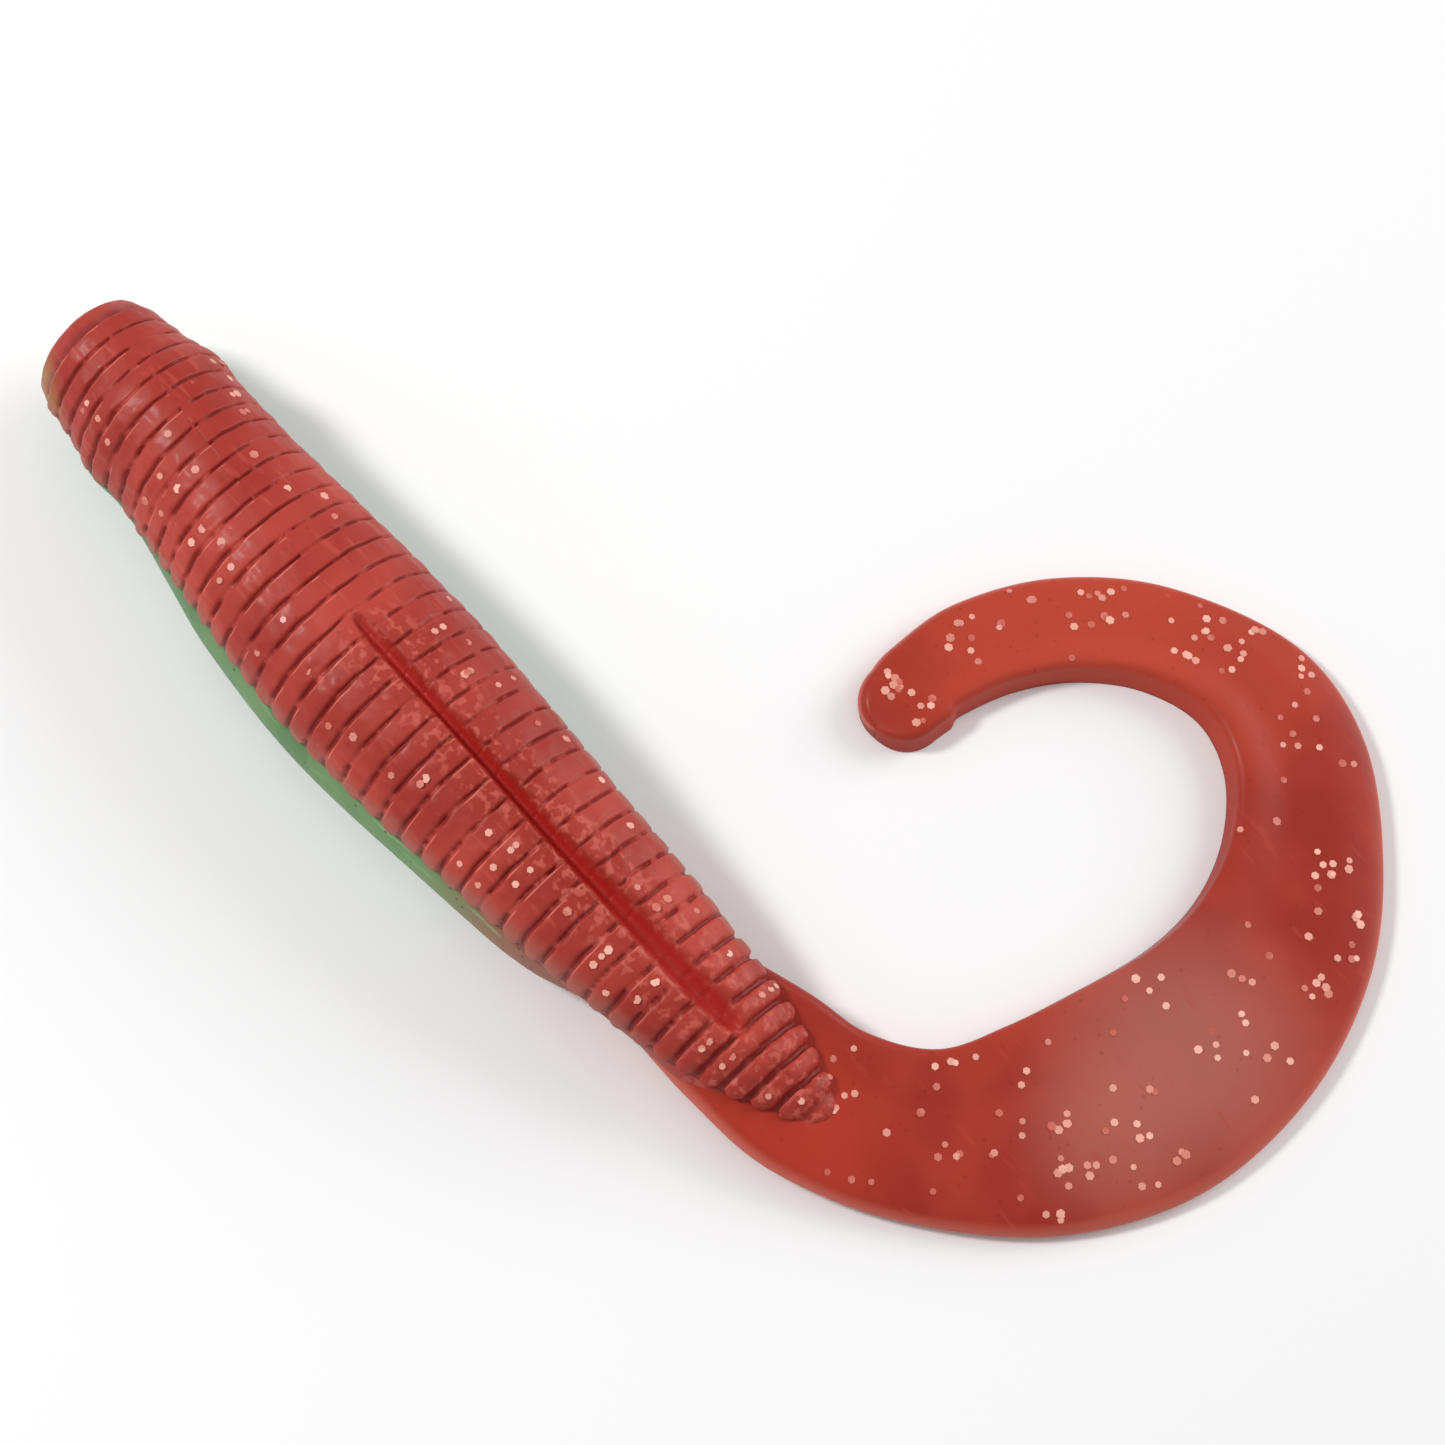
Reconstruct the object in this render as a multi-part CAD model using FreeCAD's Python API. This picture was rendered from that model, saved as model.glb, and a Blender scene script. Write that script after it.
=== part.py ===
"""Ribbed soft-plastic worm with a curled ribbon tail, one STEP file per node.

Millimetres. X runs from the nose to the tail, Y towards the side that the tail curls to, +Z up.
The origin lies on the flat of the belly, on the plane that the worm rests on. Stations along the
body are measured from the nose and turned into X by subtracting NOSE_TO_ORIGIN.

The real thing is one casting of two pours, a red back with the tail and a green belly, and it
flexes all along. Here it is cut into links that turn on each other: every link ends in a rounded
knuckle that sits in a hollow of the next link, with a small gap between them.
"""
import FreeCAD, Part
import math
import os

V = FreeCAD.Vector

# ---- the whole body ----
NOSE_TO_ORIGIN = 34.0
BODY_LENGTH = 73.6          # nose to the end of the ribbed back, along the belly
NOSE_ROUNDING = 2.4         # length over which the blunt nose rounds off
NOSE_FACE = 0.42            # nose face across, as a part of the first rib's width
NOSE_AXIS_HEIGHT = 5.9      # height of the nose's centre over the rest plane
TAIL_END_ROUNDING = 1.5     # length over which the last rib rounds off

# ---- body widths over the rib crests, at their stations ----
NOSE_WIDTH = 10.0
THROAT_WIDTH = 10.8
COLLAR_WIDTH = 11.8
NECK_WIDTH = 12.0
GIRTH_WIDTH = 13.9
WAIST_WIDTH = 12.1
WRIST_WIDTH = 9.3
LAST_RIB_WIDTH = 4.4

# ---- heights of the back over the rest plane, over the rib crests ----
NOSE_HEIGHT = 10.4
THROAT_HEIGHT = 10.8
COLLAR_HEIGHT = 11.6
BACK_HEIGHT = 12.0
WAIST_HEIGHT = 10.0
WRIST_HEIGHT = 6.9
LAST_RIB_HEIGHT = 4.0

# ---- stations, from the nose ----
NOSE_AT = 2.6
THROAT_AT = 5.2
COLLAR_AT = 7.9
NECK_AT = 14.0
GIRTH_AT = 0.435 * BODY_LENGTH
WAIST_AT = BODY_LENGTH - 23.6
WRIST_AT = BODY_LENGTH - 9.6
LAST_RIB_AT = BODY_LENGTH - 1.4
BEND_FRONT_AT = 20.0        # the two hinges of the body
BEND_REAR_AT = BODY_LENGTH - 27.6

# ---- the two pours ----
PARTING_HEIGHT = 6.0        # rest plane to the line where the red meets the green
PARTING_AT_NOSE = 4.3       # the same at the nose, where the red comes further down
PARTING_RISE_AT = 12.0      # station where that line starts to rise behind the nose
PARTING_LEVEL_AT = 22.0     # station where it has risen
PARTING_FALL_AT = BODY_LENGTH - 25.6     # station where that line starts to fall towards the tail
BELLY_END_AT = BODY_LENGTH - 13.6        # station where the green ends against the red tail
PARTING_AT_BELLY_END = 4.7
PARTING_AT_TAIL = 2.6
BELLY_FLAT_AT = NECK_AT + 4.0            # station from which the underside lies flat
BELLY_BULGE = 2.0           # pull on the belly's sides at the girth, which stand out a quarter of it
BELLY_BULGE_NOSE = -0.3
BELLY_BULGE_WAIST = 1.4
BELLY_NOSE_HEIGHT = 1.5     # underside of the nose over the rest plane
BELLY_END_HEIGHT = 0.9
BELLY_FLAT_DEPTH = 0.35     # how much of the round underside the rest plane takes off
DOME_FULLNESS = 0.57        # 0.55 is a round arch, 1 is a square one
BELLY_FULLNESS = 0.78

# ---- ribs ----
RIB_RELIEF = 0.28
GROOVE_WIDTH = 0.36
GROOVE_FLOOR = 0.12
RIB_PITCH_NOSE = 1.45
RIB_PITCH_GIRTH = 1.76
RIB_PITCH_WRIST = 1.64
FIRST_RIB_AT = 1.9

# ---- hook slot in the back ----
SLOT_FRONT_AT = BODY_LENGTH - 45.1
SLOT_REAR_AT = BODY_LENGTH - 7.6
SLOT_WIDTH = 1.5
SLOT_NECK_WIDTH = 0.9
SLOT_DEPTH_FRONT = 2.6
SLOT_DEPTH_REAR = 1.6

# ---- midline: the body bows a little, and its last ribs lean over towards the tail's curl ----
BOW_AT_NOSE = 0.75
BOW_AT_GIRTH = -0.3
LEAN_AT_BELLY_END = 0.25
LEAN_AT_WRIST = 0.6
LEAN_AT_END = 1.9

# ---- knuckles ----
BODY_GAP = 0.2
TAIL_GAP = 0.2
KNUCKLE_MARGIN = 0.6        # radius of a body knuckle beyond half of the section it crosses
UNCURL_MARGIN = 1.5         # the same for the upright knuckles of the ribbon, which turn further
FLAP_RADIUS = 1.4

# ---- tail ribbon ----
BEAD_THICKNESS = 2.4        # at the thick inner edge
WEB_THICKNESS = 1.7         # in the middle of the ribbon
RIM_THICKNESS = 1.1         # at the thin outer edge
BEAD_WIDTH = 2.4
TIP_THICKNESS = 2.2
STEM_THICKNESS = 4.0        # where the ribbon leaves the body
STEM_RISE = 0.9             # underside of the ribbon over the rest plane at the body
TIP_RADIUS = 3.0

# ---- glitter flakes ----
FLAKE_ACROSS = 0.6
FLAKE_THICKNESS = 0.12
FLAKES_PER_BODY_LINK = 9
FLAKES_PER_TAIL_LINK = 7

# Edge points of the ribbon in plan, from the end of the belly to the tip: (inner x, inner y,
# outer x, outer y), x from the end of the ribbed back.
RIBBON_EDGES = [
    (-13.6, 5.1, -13.6, -4.6),
    (-7.1, 6.85, -7.1, -3.9),
    (-2.6, 8.1, -0.1, -2.95),
    (1.2, 11.0, 7.8, 1.1),
    (3.0, 15.5, 15.3, 8.0),
    (4.4, 20.5, 19.8, 17.0),
    (5.7, 26.5, 20.3, 27.0),
    (5.6, 31.5, 17.6, 36.1),
    (3.9, 36.1, 12.6, 43.1),
    (0.7, 39.8, 5.4, 48.9),
    (-3.3, 41.3, -2.6, 50.4),
    (-7.6, 40.0, -11.6, 46.8),
    (-11.1, 37.0, -17.6, 41.0),
    (-13.4, 33.3, -20.8, 34.2),
    (-14.6, 29.5, -21.3, 28.5),
    (-15.0, 26.6, -21.0, 26.2),
]
# How much of the stem's or the tip's thickness is left at the first or the last rows.
STEM_FULLNESS = (1.0, 0.5, 0.12)
TIP_FULLNESS = (1.0, 0.8, 0.5, 0.25)
RISE_FULLNESS = (1.0, 0.95, 0.6, 0.2)
SWAY_BEFORE_END = 5.6       # where the tail's first hinge stands
SWAY_OFF_AXIS = 1.2


def smooth(x, points):
    """Height of a smooth curve at x, through (x, height) points in rising order."""
    if x <= points[0][0]:
        return points[0][1]
    if x >= points[-1][0]:
        return points[-1][1]

    def slope(i):
        """Slope at point i, level at a peak or a hollow so that the curve never overshoots."""
        if i == 0 or i == len(points) - 1:
            j = max(i, 1)
            return (points[j][1] - points[j - 1][1]) / (points[j][0] - points[j - 1][0])
        before = (points[i][1] - points[i - 1][1]) / (points[i][0] - points[i - 1][0])
        after = (points[i + 1][1] - points[i][1]) / (points[i + 1][0] - points[i][0])
        if before * after <= 0:
            return 0.0
        return 2 * before * after / (before + after)

    i = max(k for k in range(len(points) - 1) if points[k][0] <= x)
    span = points[i + 1][0] - points[i][0]
    t = (x - points[i][0]) / span
    return ((2 * t ** 3 - 3 * t ** 2 + 1) * points[i][1]
            + (t ** 3 - 2 * t ** 2 + t) * span * slope(i)
            + (3 * t ** 2 - 2 * t ** 3) * points[i + 1][1]
            + (t ** 3 - t ** 2) * span * slope(i + 1))


def half_width(at):
    """Half of the body's width over the crests at a station."""
    return 0.5 * smooth(at, [(NOSE_AT, NOSE_WIDTH), (THROAT_AT, THROAT_WIDTH),
                             (COLLAR_AT, COLLAR_WIDTH), (NECK_AT, NECK_WIDTH),
                             (GIRTH_AT, GIRTH_WIDTH), (WAIST_AT, WAIST_WIDTH),
                             (WRIST_AT, WRIST_WIDTH), (LAST_RIB_AT, LAST_RIB_WIDTH)])


def back_height(at):
    """Height of the crests over the rest plane at a station."""
    return smooth(at, [(NOSE_AT, NOSE_HEIGHT), (THROAT_AT, THROAT_HEIGHT), (COLLAR_AT, COLLAR_HEIGHT),
                       (0.5 * (NECK_AT + GIRTH_AT), BACK_HEIGHT), (GIRTH_AT, BACK_HEIGHT),
                       (WAIST_AT, WAIST_HEIGHT), (WRIST_AT, WRIST_HEIGHT),
                       (LAST_RIB_AT, LAST_RIB_HEIGHT)])


def belly_height(at):
    """Height of the underside at a station, below the rest plane where it is to be cut flat."""
    flat = -BELLY_FLAT_DEPTH
    return smooth(at, [(NOSE_AT, BELLY_NOSE_HEIGHT), (BELLY_FLAT_AT, flat),
                       (PARTING_FALL_AT, flat), (BELLY_END_AT, BELLY_END_HEIGHT)])


def belly_bulge(at):
    """How far the poles of the belly's sides lie beyond the parting line at a station."""
    return smooth(at, [(NOSE_AT, BELLY_BULGE_NOSE), (PARTING_RISE_AT, 0), (PARTING_LEVEL_AT, 0.6 * BELLY_BULGE),
                       (GIRTH_AT, BELLY_BULGE), (WAIST_AT, BELLY_BULGE_WAIST), (BELLY_END_AT, 0)])


def lean(at):
    """How far the middle of the body lies towards the tail's curl at a station."""
    return smooth(at, [(NOSE_AT, BOW_AT_NOSE), (COLLAR_AT, BOW_AT_NOSE), (PARTING_LEVEL_AT, 0.5 * BOW_AT_GIRTH),
                       (GIRTH_AT, BOW_AT_GIRTH), (PARTING_FALL_AT, BOW_AT_GIRTH),
                       (BELLY_END_AT, LEAN_AT_BELLY_END), (WRIST_AT, LEAN_AT_WRIST), (BODY_LENGTH, LEAN_AT_END)])


def nose_scale(at):
    """How much of the full section is left where the nose rounds off."""
    if at >= NOSE_ROUNDING:
        return 1.0
    return NOSE_FACE + (1 - NOSE_FACE) * math.sqrt(1 - (1 - at / NOSE_ROUNDING) ** 2)


def tail_scale(at):
    """How much of the back's section is left where its last rib rounds off."""
    left = (BODY_LENGTH - at) / TAIL_END_ROUNDING
    if left >= 1:
        return 1.0
    return 0.3 + 0.7 * math.sqrt(1 - (1 - left) ** 2)


def rib_stations():
    """Stations of the grooves, one before each rib and one after the last."""
    stations = [FIRST_RIB_AT]
    while stations[-1] < BODY_LENGTH - RIB_PITCH_WRIST:
        pitch = smooth(stations[-1], [(0, RIB_PITCH_NOSE), (GIRTH_AT, RIB_PITCH_GIRTH),
                                      (WAIST_AT, RIB_PITCH_GIRTH), (WRIST_AT, RIB_PITCH_WRIST)])
        stations.append(stations[-1] + pitch)
    return stations


GROOVES = rib_stations()
PARTING_KNOTS = [(min(GROOVES, key=lambda at: abs(at - wanted)), height) for wanted, height in (
    (PARTING_RISE_AT, PARTING_AT_NOSE), (PARTING_LEVEL_AT, PARTING_HEIGHT), (PARTING_FALL_AT, PARTING_HEIGHT),
    (BELLY_END_AT, PARTING_AT_BELLY_END))]
END_STATION = PARTING_KNOTS[-1][0]


def parting(at):
    """Height of the parting line at a station: straight from knot to knot, each at a groove."""
    knots = [(0, PARTING_AT_NOSE)] + PARTING_KNOTS + [(BODY_LENGTH, PARTING_AT_TAIL)]
    for (x0, y0), (x1, y1) in zip(knots[:-1], knots[1:]):
        if at <= x1:
            return y0 + (at - x0) / (x1 - x0) * (y1 - y0)
    return PARTING_AT_TAIL


def bezier_edge(x, poles):
    """Edge in the plane X = x through (y, z) poles."""
    curve = Part.BezierCurve()
    curve.setPoles([V(x, y, z) for y, z in poles])
    return curve.toShape()


def arch_section(at, relief):
    """Closed section of the back: a full arch over the parting line.

    relief is how far the section lies below the rib crests.
    """
    x = at - NOSE_TO_ORIGIN
    scale = nose_scale(at) * tail_scale(at)
    low = parting(at)
    wide = (half_width(at) - relief) * scale
    axis = NOSE_AXIS_HEIGHT if at < NOSE_ROUNDING else low
    high = axis + (back_height(at) - relief - axis) * scale
    high = max(high, low + RIB_RELIEF)
    full = DOME_FULLNESS
    mid = lean(at)
    left = bezier_edge(x, [(mid - wide, low), (mid - wide, low + full * (high - low)), (mid - full * wide, high),
                           (mid, high)])
    right = bezier_edge(x, [(mid, high), (mid + full * wide, high), (mid + wide, low + full * (high - low)),
                            (mid + wide, low)])
    base = Part.makeLine(V(x, mid + wide, low), V(x, mid - wide, low))
    return Part.Wire([left, right, base])


def belly_section(at):
    """Closed section of the belly: steep sides and a flattened bottom under the parting line."""
    x = at - NOSE_TO_ORIGIN
    scale = nose_scale(at)
    high = parting(at)
    wide = (half_width(at) - RIB_RELIEF) * scale
    low = NOSE_AXIS_HEIGHT + (belly_height(at) - NOSE_AXIS_HEIGHT) * scale
    full = BELLY_FULLNESS
    out = wide + belly_bulge(at) * scale
    mid = lean(at)
    right = bezier_edge(x, [(mid + wide, high), (mid + out, high - full * (high - low)), (mid + full * wide, low),
                            (mid, low)])
    left = bezier_edge(x, [(mid, low), (mid - full * wide, low), (mid - out, high - full * (high - low)),
                           (mid - wide, high)])
    base = Part.makeLine(V(x, mid - wide, high), V(x, mid + wide, high))
    return Part.Wire([right, left, base])


def ribbed_back():
    """The whole red back: a ruled skin over groove floors and rib crests."""
    sections = [arch_section(at, 0) for at in (0, 0.25 * FIRST_RIB_AT, 0.6 * FIRST_RIB_AT)]
    for start, end in zip(GROOVES[:-1], GROOVES[1:]):
        sections.append(arch_section(start + GROOVE_FLOOR / 2, RIB_RELIEF))
        sections.append(arch_section(start + GROOVE_WIDTH / 2, 0))
        sections.append(arch_section(end - GROOVE_WIDTH / 2, 0))
        sections.append(arch_section(end - GROOVE_FLOOR / 2, RIB_RELIEF))
    for at in (0.5 * (GROOVES[-1] + BODY_LENGTH), BODY_LENGTH):
        sections.append(arch_section(at, RIB_RELIEF))
    return Part.makeLoft(sections, True, True)


def green_belly():
    """The whole belly, cut flat on the rest plane."""
    stations = [0, 0.25 * FIRST_RIB_AT, 0.6 * FIRST_RIB_AT] + [at for at in GROOVES if at <= END_STATION]
    belly = Part.makeLoft([belly_section(at) for at in stations], True, True)
    return belly.cut(under_rest_plane())


def under_rest_plane():
    """The space below the plane that the worm rests on."""
    size = 3 * BODY_LENGTH
    return Part.makeBox(size, size, GIRTH_WIDTH, V(-size / 2, -size / 2, -GIRTH_WIDTH))


def slot_tool():
    """What the hook slot takes out of the back: narrow in front, round at the rear."""
    front, rear = SLOT_FRONT_AT - NOSE_TO_ORIGIN, SLOT_REAR_AT - NOSE_TO_ORIGIN
    top = BACK_HEIGHT + 1
    neck = 0.25 * front + 0.75 * rear
    round_centre = rear - SLOT_WIDTH / 2
    at_front, at_neck, at_rear = (lean(x + NOSE_TO_ORIGIN) for x in (front, neck, rear))
    point = V(front, at_front, 0)
    neck_left, neck_right = (V(neck, at_neck + side * SLOT_NECK_WIDTH / 2, 0) for side in (-1, 1))
    rear_left, rear_right = (V(round_centre, at_rear + side * SLOT_WIDTH / 2, 0) for side in (-1, 1))
    outline = Part.Wire([
        Part.makeLine(point, neck_left), Part.makeLine(neck_left, rear_left),
        Part.Arc(rear_left, V(rear, at_rear, 0), rear_right).toShape(),
        Part.makeLine(rear_right, neck_right), Part.makeLine(neck_right, point),
    ])
    walls = Part.Face(outline).extrude(V(0, 0, top))
    floor_front = back_height(SLOT_FRONT_AT) - SLOT_DEPTH_FRONT
    floor_rear = back_height(SLOT_REAR_AT) - SLOT_DEPTH_REAR
    side = [V(front, 0, floor_front), V(rear, 0, floor_rear), V(rear, 0, top), V(front, 0, top)]
    slab = Part.Face(Part.makePolygon(side + side[:1])).extrude(V(0, 4 * SLOT_WIDTH, 0))
    slab.translate(V(0, -2 * SLOT_WIDTH, 0))
    return walls.common(slab)


# ---- tail ribbon ----
def edge_pair(row):
    """Inner and outer edge points of the ribbon at a row, on the rest plane."""
    xi, yi, xo, yo = RIBBON_EDGES[row]
    end = BODY_LENGTH - NOSE_TO_ORIGIN
    return V(end + xi, yi, 0), V(end + xo, yo, 0)


def across(row):
    """Middle, direction towards the outer edge, and width of the ribbon at a row."""
    inner, outer = edge_pair(row)
    direction = outer - inner
    width = direction.Length
    direction.normalize()
    return (inner + outer) * 0.5, direction, width


def share(shares, steps):
    """The share at a number of steps from an end, and none past the last one given."""
    return shares[steps] if steps < len(shares) else 0.0


def ribbon_underside(row):
    """Height of the ribbon's underside: it comes down from the body to the rest plane."""
    return STEM_RISE * share(RISE_FULLNESS, row)


def ribbon_section(inner, direction, width, low, bead, web, rim):
    """Closed section of the ribbon: flat below, a bead at the inner edge, a thin outer rim."""
    def point(out, up):
        return inner + direction * out + V(0, 0, low + up)

    poles = [point(0, 0), point(-0.1, bead * 0.75), point(0.12 * BEAD_WIDTH, bead * 1.12),
             point(0.75 * BEAD_WIDTH, bead * 1.06), point(max(1.3 * BEAD_WIDTH, 0.35 * width), web),
             point(0.62 * width, web), point(width - 1.2, 0.5 * (web + rim)),
             point(width + 0.1, rim * 1.1), point(width, 0)]
    over = Part.BSplineCurve()
    over.buildFromPoles(poles, False, 3)
    under = Part.makeLine(point(width, 0), point(0, 0))
    return Part.Wire([over.toShape(), under])


def ribbon_loft():
    """The tail ribbon from the end of the belly to the last row, with no tip yet."""
    last = len(RIBBON_EDGES) - 1
    sections = []
    for row in range(last + 1):
        inner, _ = edge_pair(row)
        _, direction, width = across(row)
        root = share(STEM_FULLNESS, row)
        tip = share(TIP_FULLNESS, last - row)
        bead = BEAD_THICKNESS + root * (STEM_THICKNESS - BEAD_THICKNESS)
        web = WEB_THICKNESS + root * (STEM_THICKNESS - WEB_THICKNESS) + tip * (TIP_THICKNESS - WEB_THICKNESS)
        rim = RIM_THICKNESS + root * (STEM_THICKNESS - RIM_THICKNESS) + tip * (TIP_THICKNESS - RIM_THICKNESS)
        sections.append(ribbon_section(inner, direction, width, ribbon_underside(row), bead, web, rim))
    return Part.makeLoft(sections, True, False)


def ribbon_tip():
    """The rounded end of the ribbon, past the last row."""
    last = len(RIBBON_EDGES) - 1
    middle, direction, width = across(last)
    ahead = V(0, 0, 1).cross(direction)
    if ahead.dot(middle - across(last - 1)[0]) < 0:
        ahead = ahead * -1
    sections = []
    for step in (0, 30, 55, 75):
        turn = math.radians(step)
        half = 0.5 * width * math.cos(turn)
        thick = TIP_THICKNESS * (1 - 0.35 * (turn / math.radians(75)) ** 2)
        start = middle - direction * half + ahead * TIP_RADIUS * math.sin(turn)
        sections.append(tip_section(start, direction, 2 * half, thick))
    return Part.makeLoft(sections, True, False)


def ribbon():
    """The whole tail ribbon, from the end of the belly to its rounded tip."""
    return ribbon_loft().fuse(ribbon_tip()).cut(under_rest_plane())


def tip_section(inner, direction, width, thick):
    """Closed section of the tip: flat below and round above."""
    def point(out, up):
        return inner + direction * out + V(0, 0, up)

    over = Part.BSplineCurve()
    over.buildFromPoles([point(0, 0), point(-0.05, 0.9 * thick), point(0.15 * width, 1.15 * thick),
                         point(0.5 * width, 1.02 * thick), point(0.85 * width, 1.15 * thick),
                         point(width + 0.05, 0.9 * thick), point(width, 0)], False, 3)
    return Part.Wire([over.toShape(), Part.makeLine(point(width, 0), point(0, 0))])


# ---- hinges ----
class Hinge:
    """A hinge line: a point on it, its direction, and the radius of its knuckle."""

    def __init__(self, name, point, axis, radius):
        self.name, self.point, self.axis, self.radius = name, point, axis, radius

    def barrel(self, gap=0.0):
        """The knuckle's cylinder, long enough to cross the whole section."""
        reach = 2 * GIRTH_WIDTH
        return Part.makeCylinder(self.radius + gap, 2 * reach, self.point - self.axis * reach, self.axis)


def body_hinge(name, at, axis):
    """Hinge across the body at a station, through the middle of the section's height."""
    low, high = max(belly_height(at), 0), back_height(at)
    half = half_width(at) + 0.4 * belly_bulge(at) if axis.z else (high - low) / 2
    return Hinge(name, V(at - NOSE_TO_ORIGIN, 0, (low + high) / 2), axis, half + KNUCKLE_MARGIN)


def flap_hinge(name, row):
    """Hinge along a row of the ribbon, for flapping up and down."""
    middle, direction, _ = across(row)
    return Hinge(name, V(middle.x, middle.y, BEAD_THICKNESS / 2), direction, FLAP_RADIUS)


def uncurl_hinge(name, row):
    """Upright hinge in the middle of a row, for curling and uncurling in the ribbon's plane."""
    middle, _, width = across(row)
    return Hinge(name, V(middle.x, middle.y, BEAD_THICKNESS / 2), V(0, 0, -1), width / 2 + UNCURL_MARGIN)


def tail_links():
    """Name, rows, first and last hinge of every link of the ribbon but the tip, from the body on."""
    return [
        ("tail_root", [1, 2, 3, 4], "tail_sway", "tail_flap_1"),
        ("tail_bend", [4, 5, 6], "tail_flap_1", "tail_flap_2"),
        ("tail_paddle", [6, 7, 8], "tail_flap_2", "tail_uncurl_1"),
        ("tail_crown", [8, 9, 10], "tail_uncurl_1", "tail_flap_3"),
        ("tail_hook", [10, 11, 12], "tail_flap_3", "tail_uncurl_2"),
        ("tail_crook", [12, 13, 14], "tail_uncurl_2", "tail_flap_4"),
    ]


def all_hinges():
    """Every hinge by name, from the nose to the tip."""
    sway_at = V(BODY_LENGTH - SWAY_BEFORE_END - NOSE_TO_ORIGIN, SWAY_OFF_AXIS, BEAD_THICKNESS)
    hinges = {
        "body_sway": body_hinge("body_sway", BEND_FRONT_AT, V(0, 0, 1)),
        "body_nod": body_hinge("body_nod", BEND_REAR_AT, V(0, 1, 0)),
        "tail_sway": Hinge("tail_sway", sway_at, V(0, 0, 1), across(2)[2] / 2 + KNUCKLE_MARGIN),
    }
    for _, rows, _, name in tail_links():
        hinges[name] = (flap_hinge if "flap" in name else uncurl_hinge)(name, rows[-1])
    return hinges


HINGES = all_hinges()


def body_link(solid, start, end):
    """The piece of a body solid between two hinges, either of which may be None."""
    size = 4 * BODY_LENGTH
    left = start.point.x if start else -size / 2
    right = end.point.x if end else size / 2
    region = Part.makeBox(right - left, size, size, V(left, -size / 2, -size / 2))
    if end:
        region = region.fuse(end.barrel())
    link = solid.common(region)
    return link.cut(start.barrel(BODY_GAP)) if start else link


def ribbon_link(solid, rows, start, end):
    """The piece of the ribbon over some rows, between its two hinges."""
    reach = 2.0
    inner_side, outer_side = [], []
    for row in rows:
        inner, outer = edge_pair(row)
        _, direction, _ = across(row)
        inner_side.append(inner - direction * reach)
        outer_side.append(outer + direction * reach)
    outline = inner_side + outer_side[::-1]
    region = Part.Face(Part.makePolygon(outline + outline[:1])).extrude(V(0, 0, BACK_HEIGHT))
    if end:
        knuckle = end.barrel()
        near = Part.makeBox(4 * end.radius + 2 * GIRTH_WIDTH, 4 * end.radius + 2 * GIRTH_WIDTH, BACK_HEIGHT,
                            end.point - V(2 * end.radius + GIRTH_WIDTH, 2 * end.radius + GIRTH_WIDTH, 2))
        region = region.fuse(knuckle.common(near))
    link = solid.common(region)
    return link.cut(start.barrel(TAIL_GAP)) if start else link


def one_solid(shape, name):
    """The single solid of a shape, with a warning if a cut left more than one."""
    solids = sorted(shape.Solids, key=lambda s: s.Volume)
    if len(solids) != 1:
        print("WARNING", name, "has", len(solids), "solids", [round(s.Volume, 3) for s in solids])
    return solids[-1]


# ---- flakes ----
def flake(point, normal):
    """A hexagonal flake let half of its thickness into a surface."""
    corners = [V(FLAKE_ACROSS / 2 * math.cos(math.radians(60 * k)),
                 FLAKE_ACROSS / 2 * math.sin(math.radians(60 * k)), 0) for k in range(6)]
    solid = Part.Face(Part.makePolygon(corners + corners[:1])).extrude(V(0, 0, FLAKE_THICKNESS))
    solid.Placement = FreeCAD.Placement(point - normal * (FLAKE_THICKNESS / 2),
                                        FreeCAD.Rotation(V(0, 0, 1), normal))
    return solid


def seated(solid, point, normal):
    """Whether a flake at this point has the solid under the whole of it, and a margin round it."""
    sides = [normal.cross(V(1, 0, 0)), normal.cross(V(0, 1, 0))]
    deep = point - normal * (1.5 * FLAKE_THICKNESS)
    corners = [deep + side * turn for side in sides for turn in (FLAKE_ACROSS, -FLAKE_ACROSS)]
    return all(solid.isInside(corner, 1e-4, False) for corner in corners)


def scatter(solid, places, count):
    """Flakes at the first places that lie on the solid and keep clear of each other."""
    flakes = []
    for point, normal in places:
        clear = all(point.distanceToPoint(other) > 2 * FLAKE_ACROSS for other, _ in flakes)
        if clear and seated(solid, point, normal):
            flakes.append((point, normal))
        if len(flakes) == count:
            break
    return Part.makeCompound([flake(point, normal) for point, normal in flakes])


def crest_places(first, last):
    """Points and normals on the rib crests between two stations, spread by golden-ratio steps."""
    crests = [(a + b) / 2 for a, b in zip(GROOVES[:-1], GROOVES[1:]) if first < (a + b) / 2 < last]
    for k in range(1, 400):
        at = crests[int(len(crests) * ((0.618034 * k) % 1))]
        side = arch_section(at, 0).Edges[k % 2]
        share = 0.28 + 0.42 * ((0.381966 * k + 0.21) % 1)
        along = share if k % 2 else 1 - share
        normal = V(1, 0, 0).cross(side.tangentAt(along))
        yield side.valueAt(along), normal if normal.z > 0 else normal * -1


def ribbon_spots(rows):
    """Spots on the ribbon between its first and last row, clear of both ends."""
    for k in range(1, 400):
        along = 0.08 + 0.9 * ((0.618034 * k) % 1)
        out = 0.14 + 0.72 * ((0.754878 * k + 0.3) % 1)
        place = rows[0] + along * (rows[-1] - rows[0])
        row = int(place)
        part = place - row
        inner_a, outer_a = edge_pair(row)
        inner_b, outer_b = edge_pair(row + 1)
        inner = inner_a * (1 - part) + inner_b * part
        outer = outer_a * (1 - part) + outer_b * part
        yield inner * (1 - out) + outer * out


def ribbon_places(rows):
    """Points and normals on top of the ribbon over some rows."""
    skins = [face for face in ribbon_loft().Faces if isinstance(face.Surface, Part.BSplineSurface)]
    top = max(skins, key=lambda face: face.CenterOfMass.z).Surface
    for spot in ribbon_spots(rows):
        u, v = top.parameter(spot + V(0, 0, WEB_THICKNESS))
        normal = top.normal(u, v)
        yield top.value(u, v), normal if normal.z > 0 else normal * -1


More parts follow.
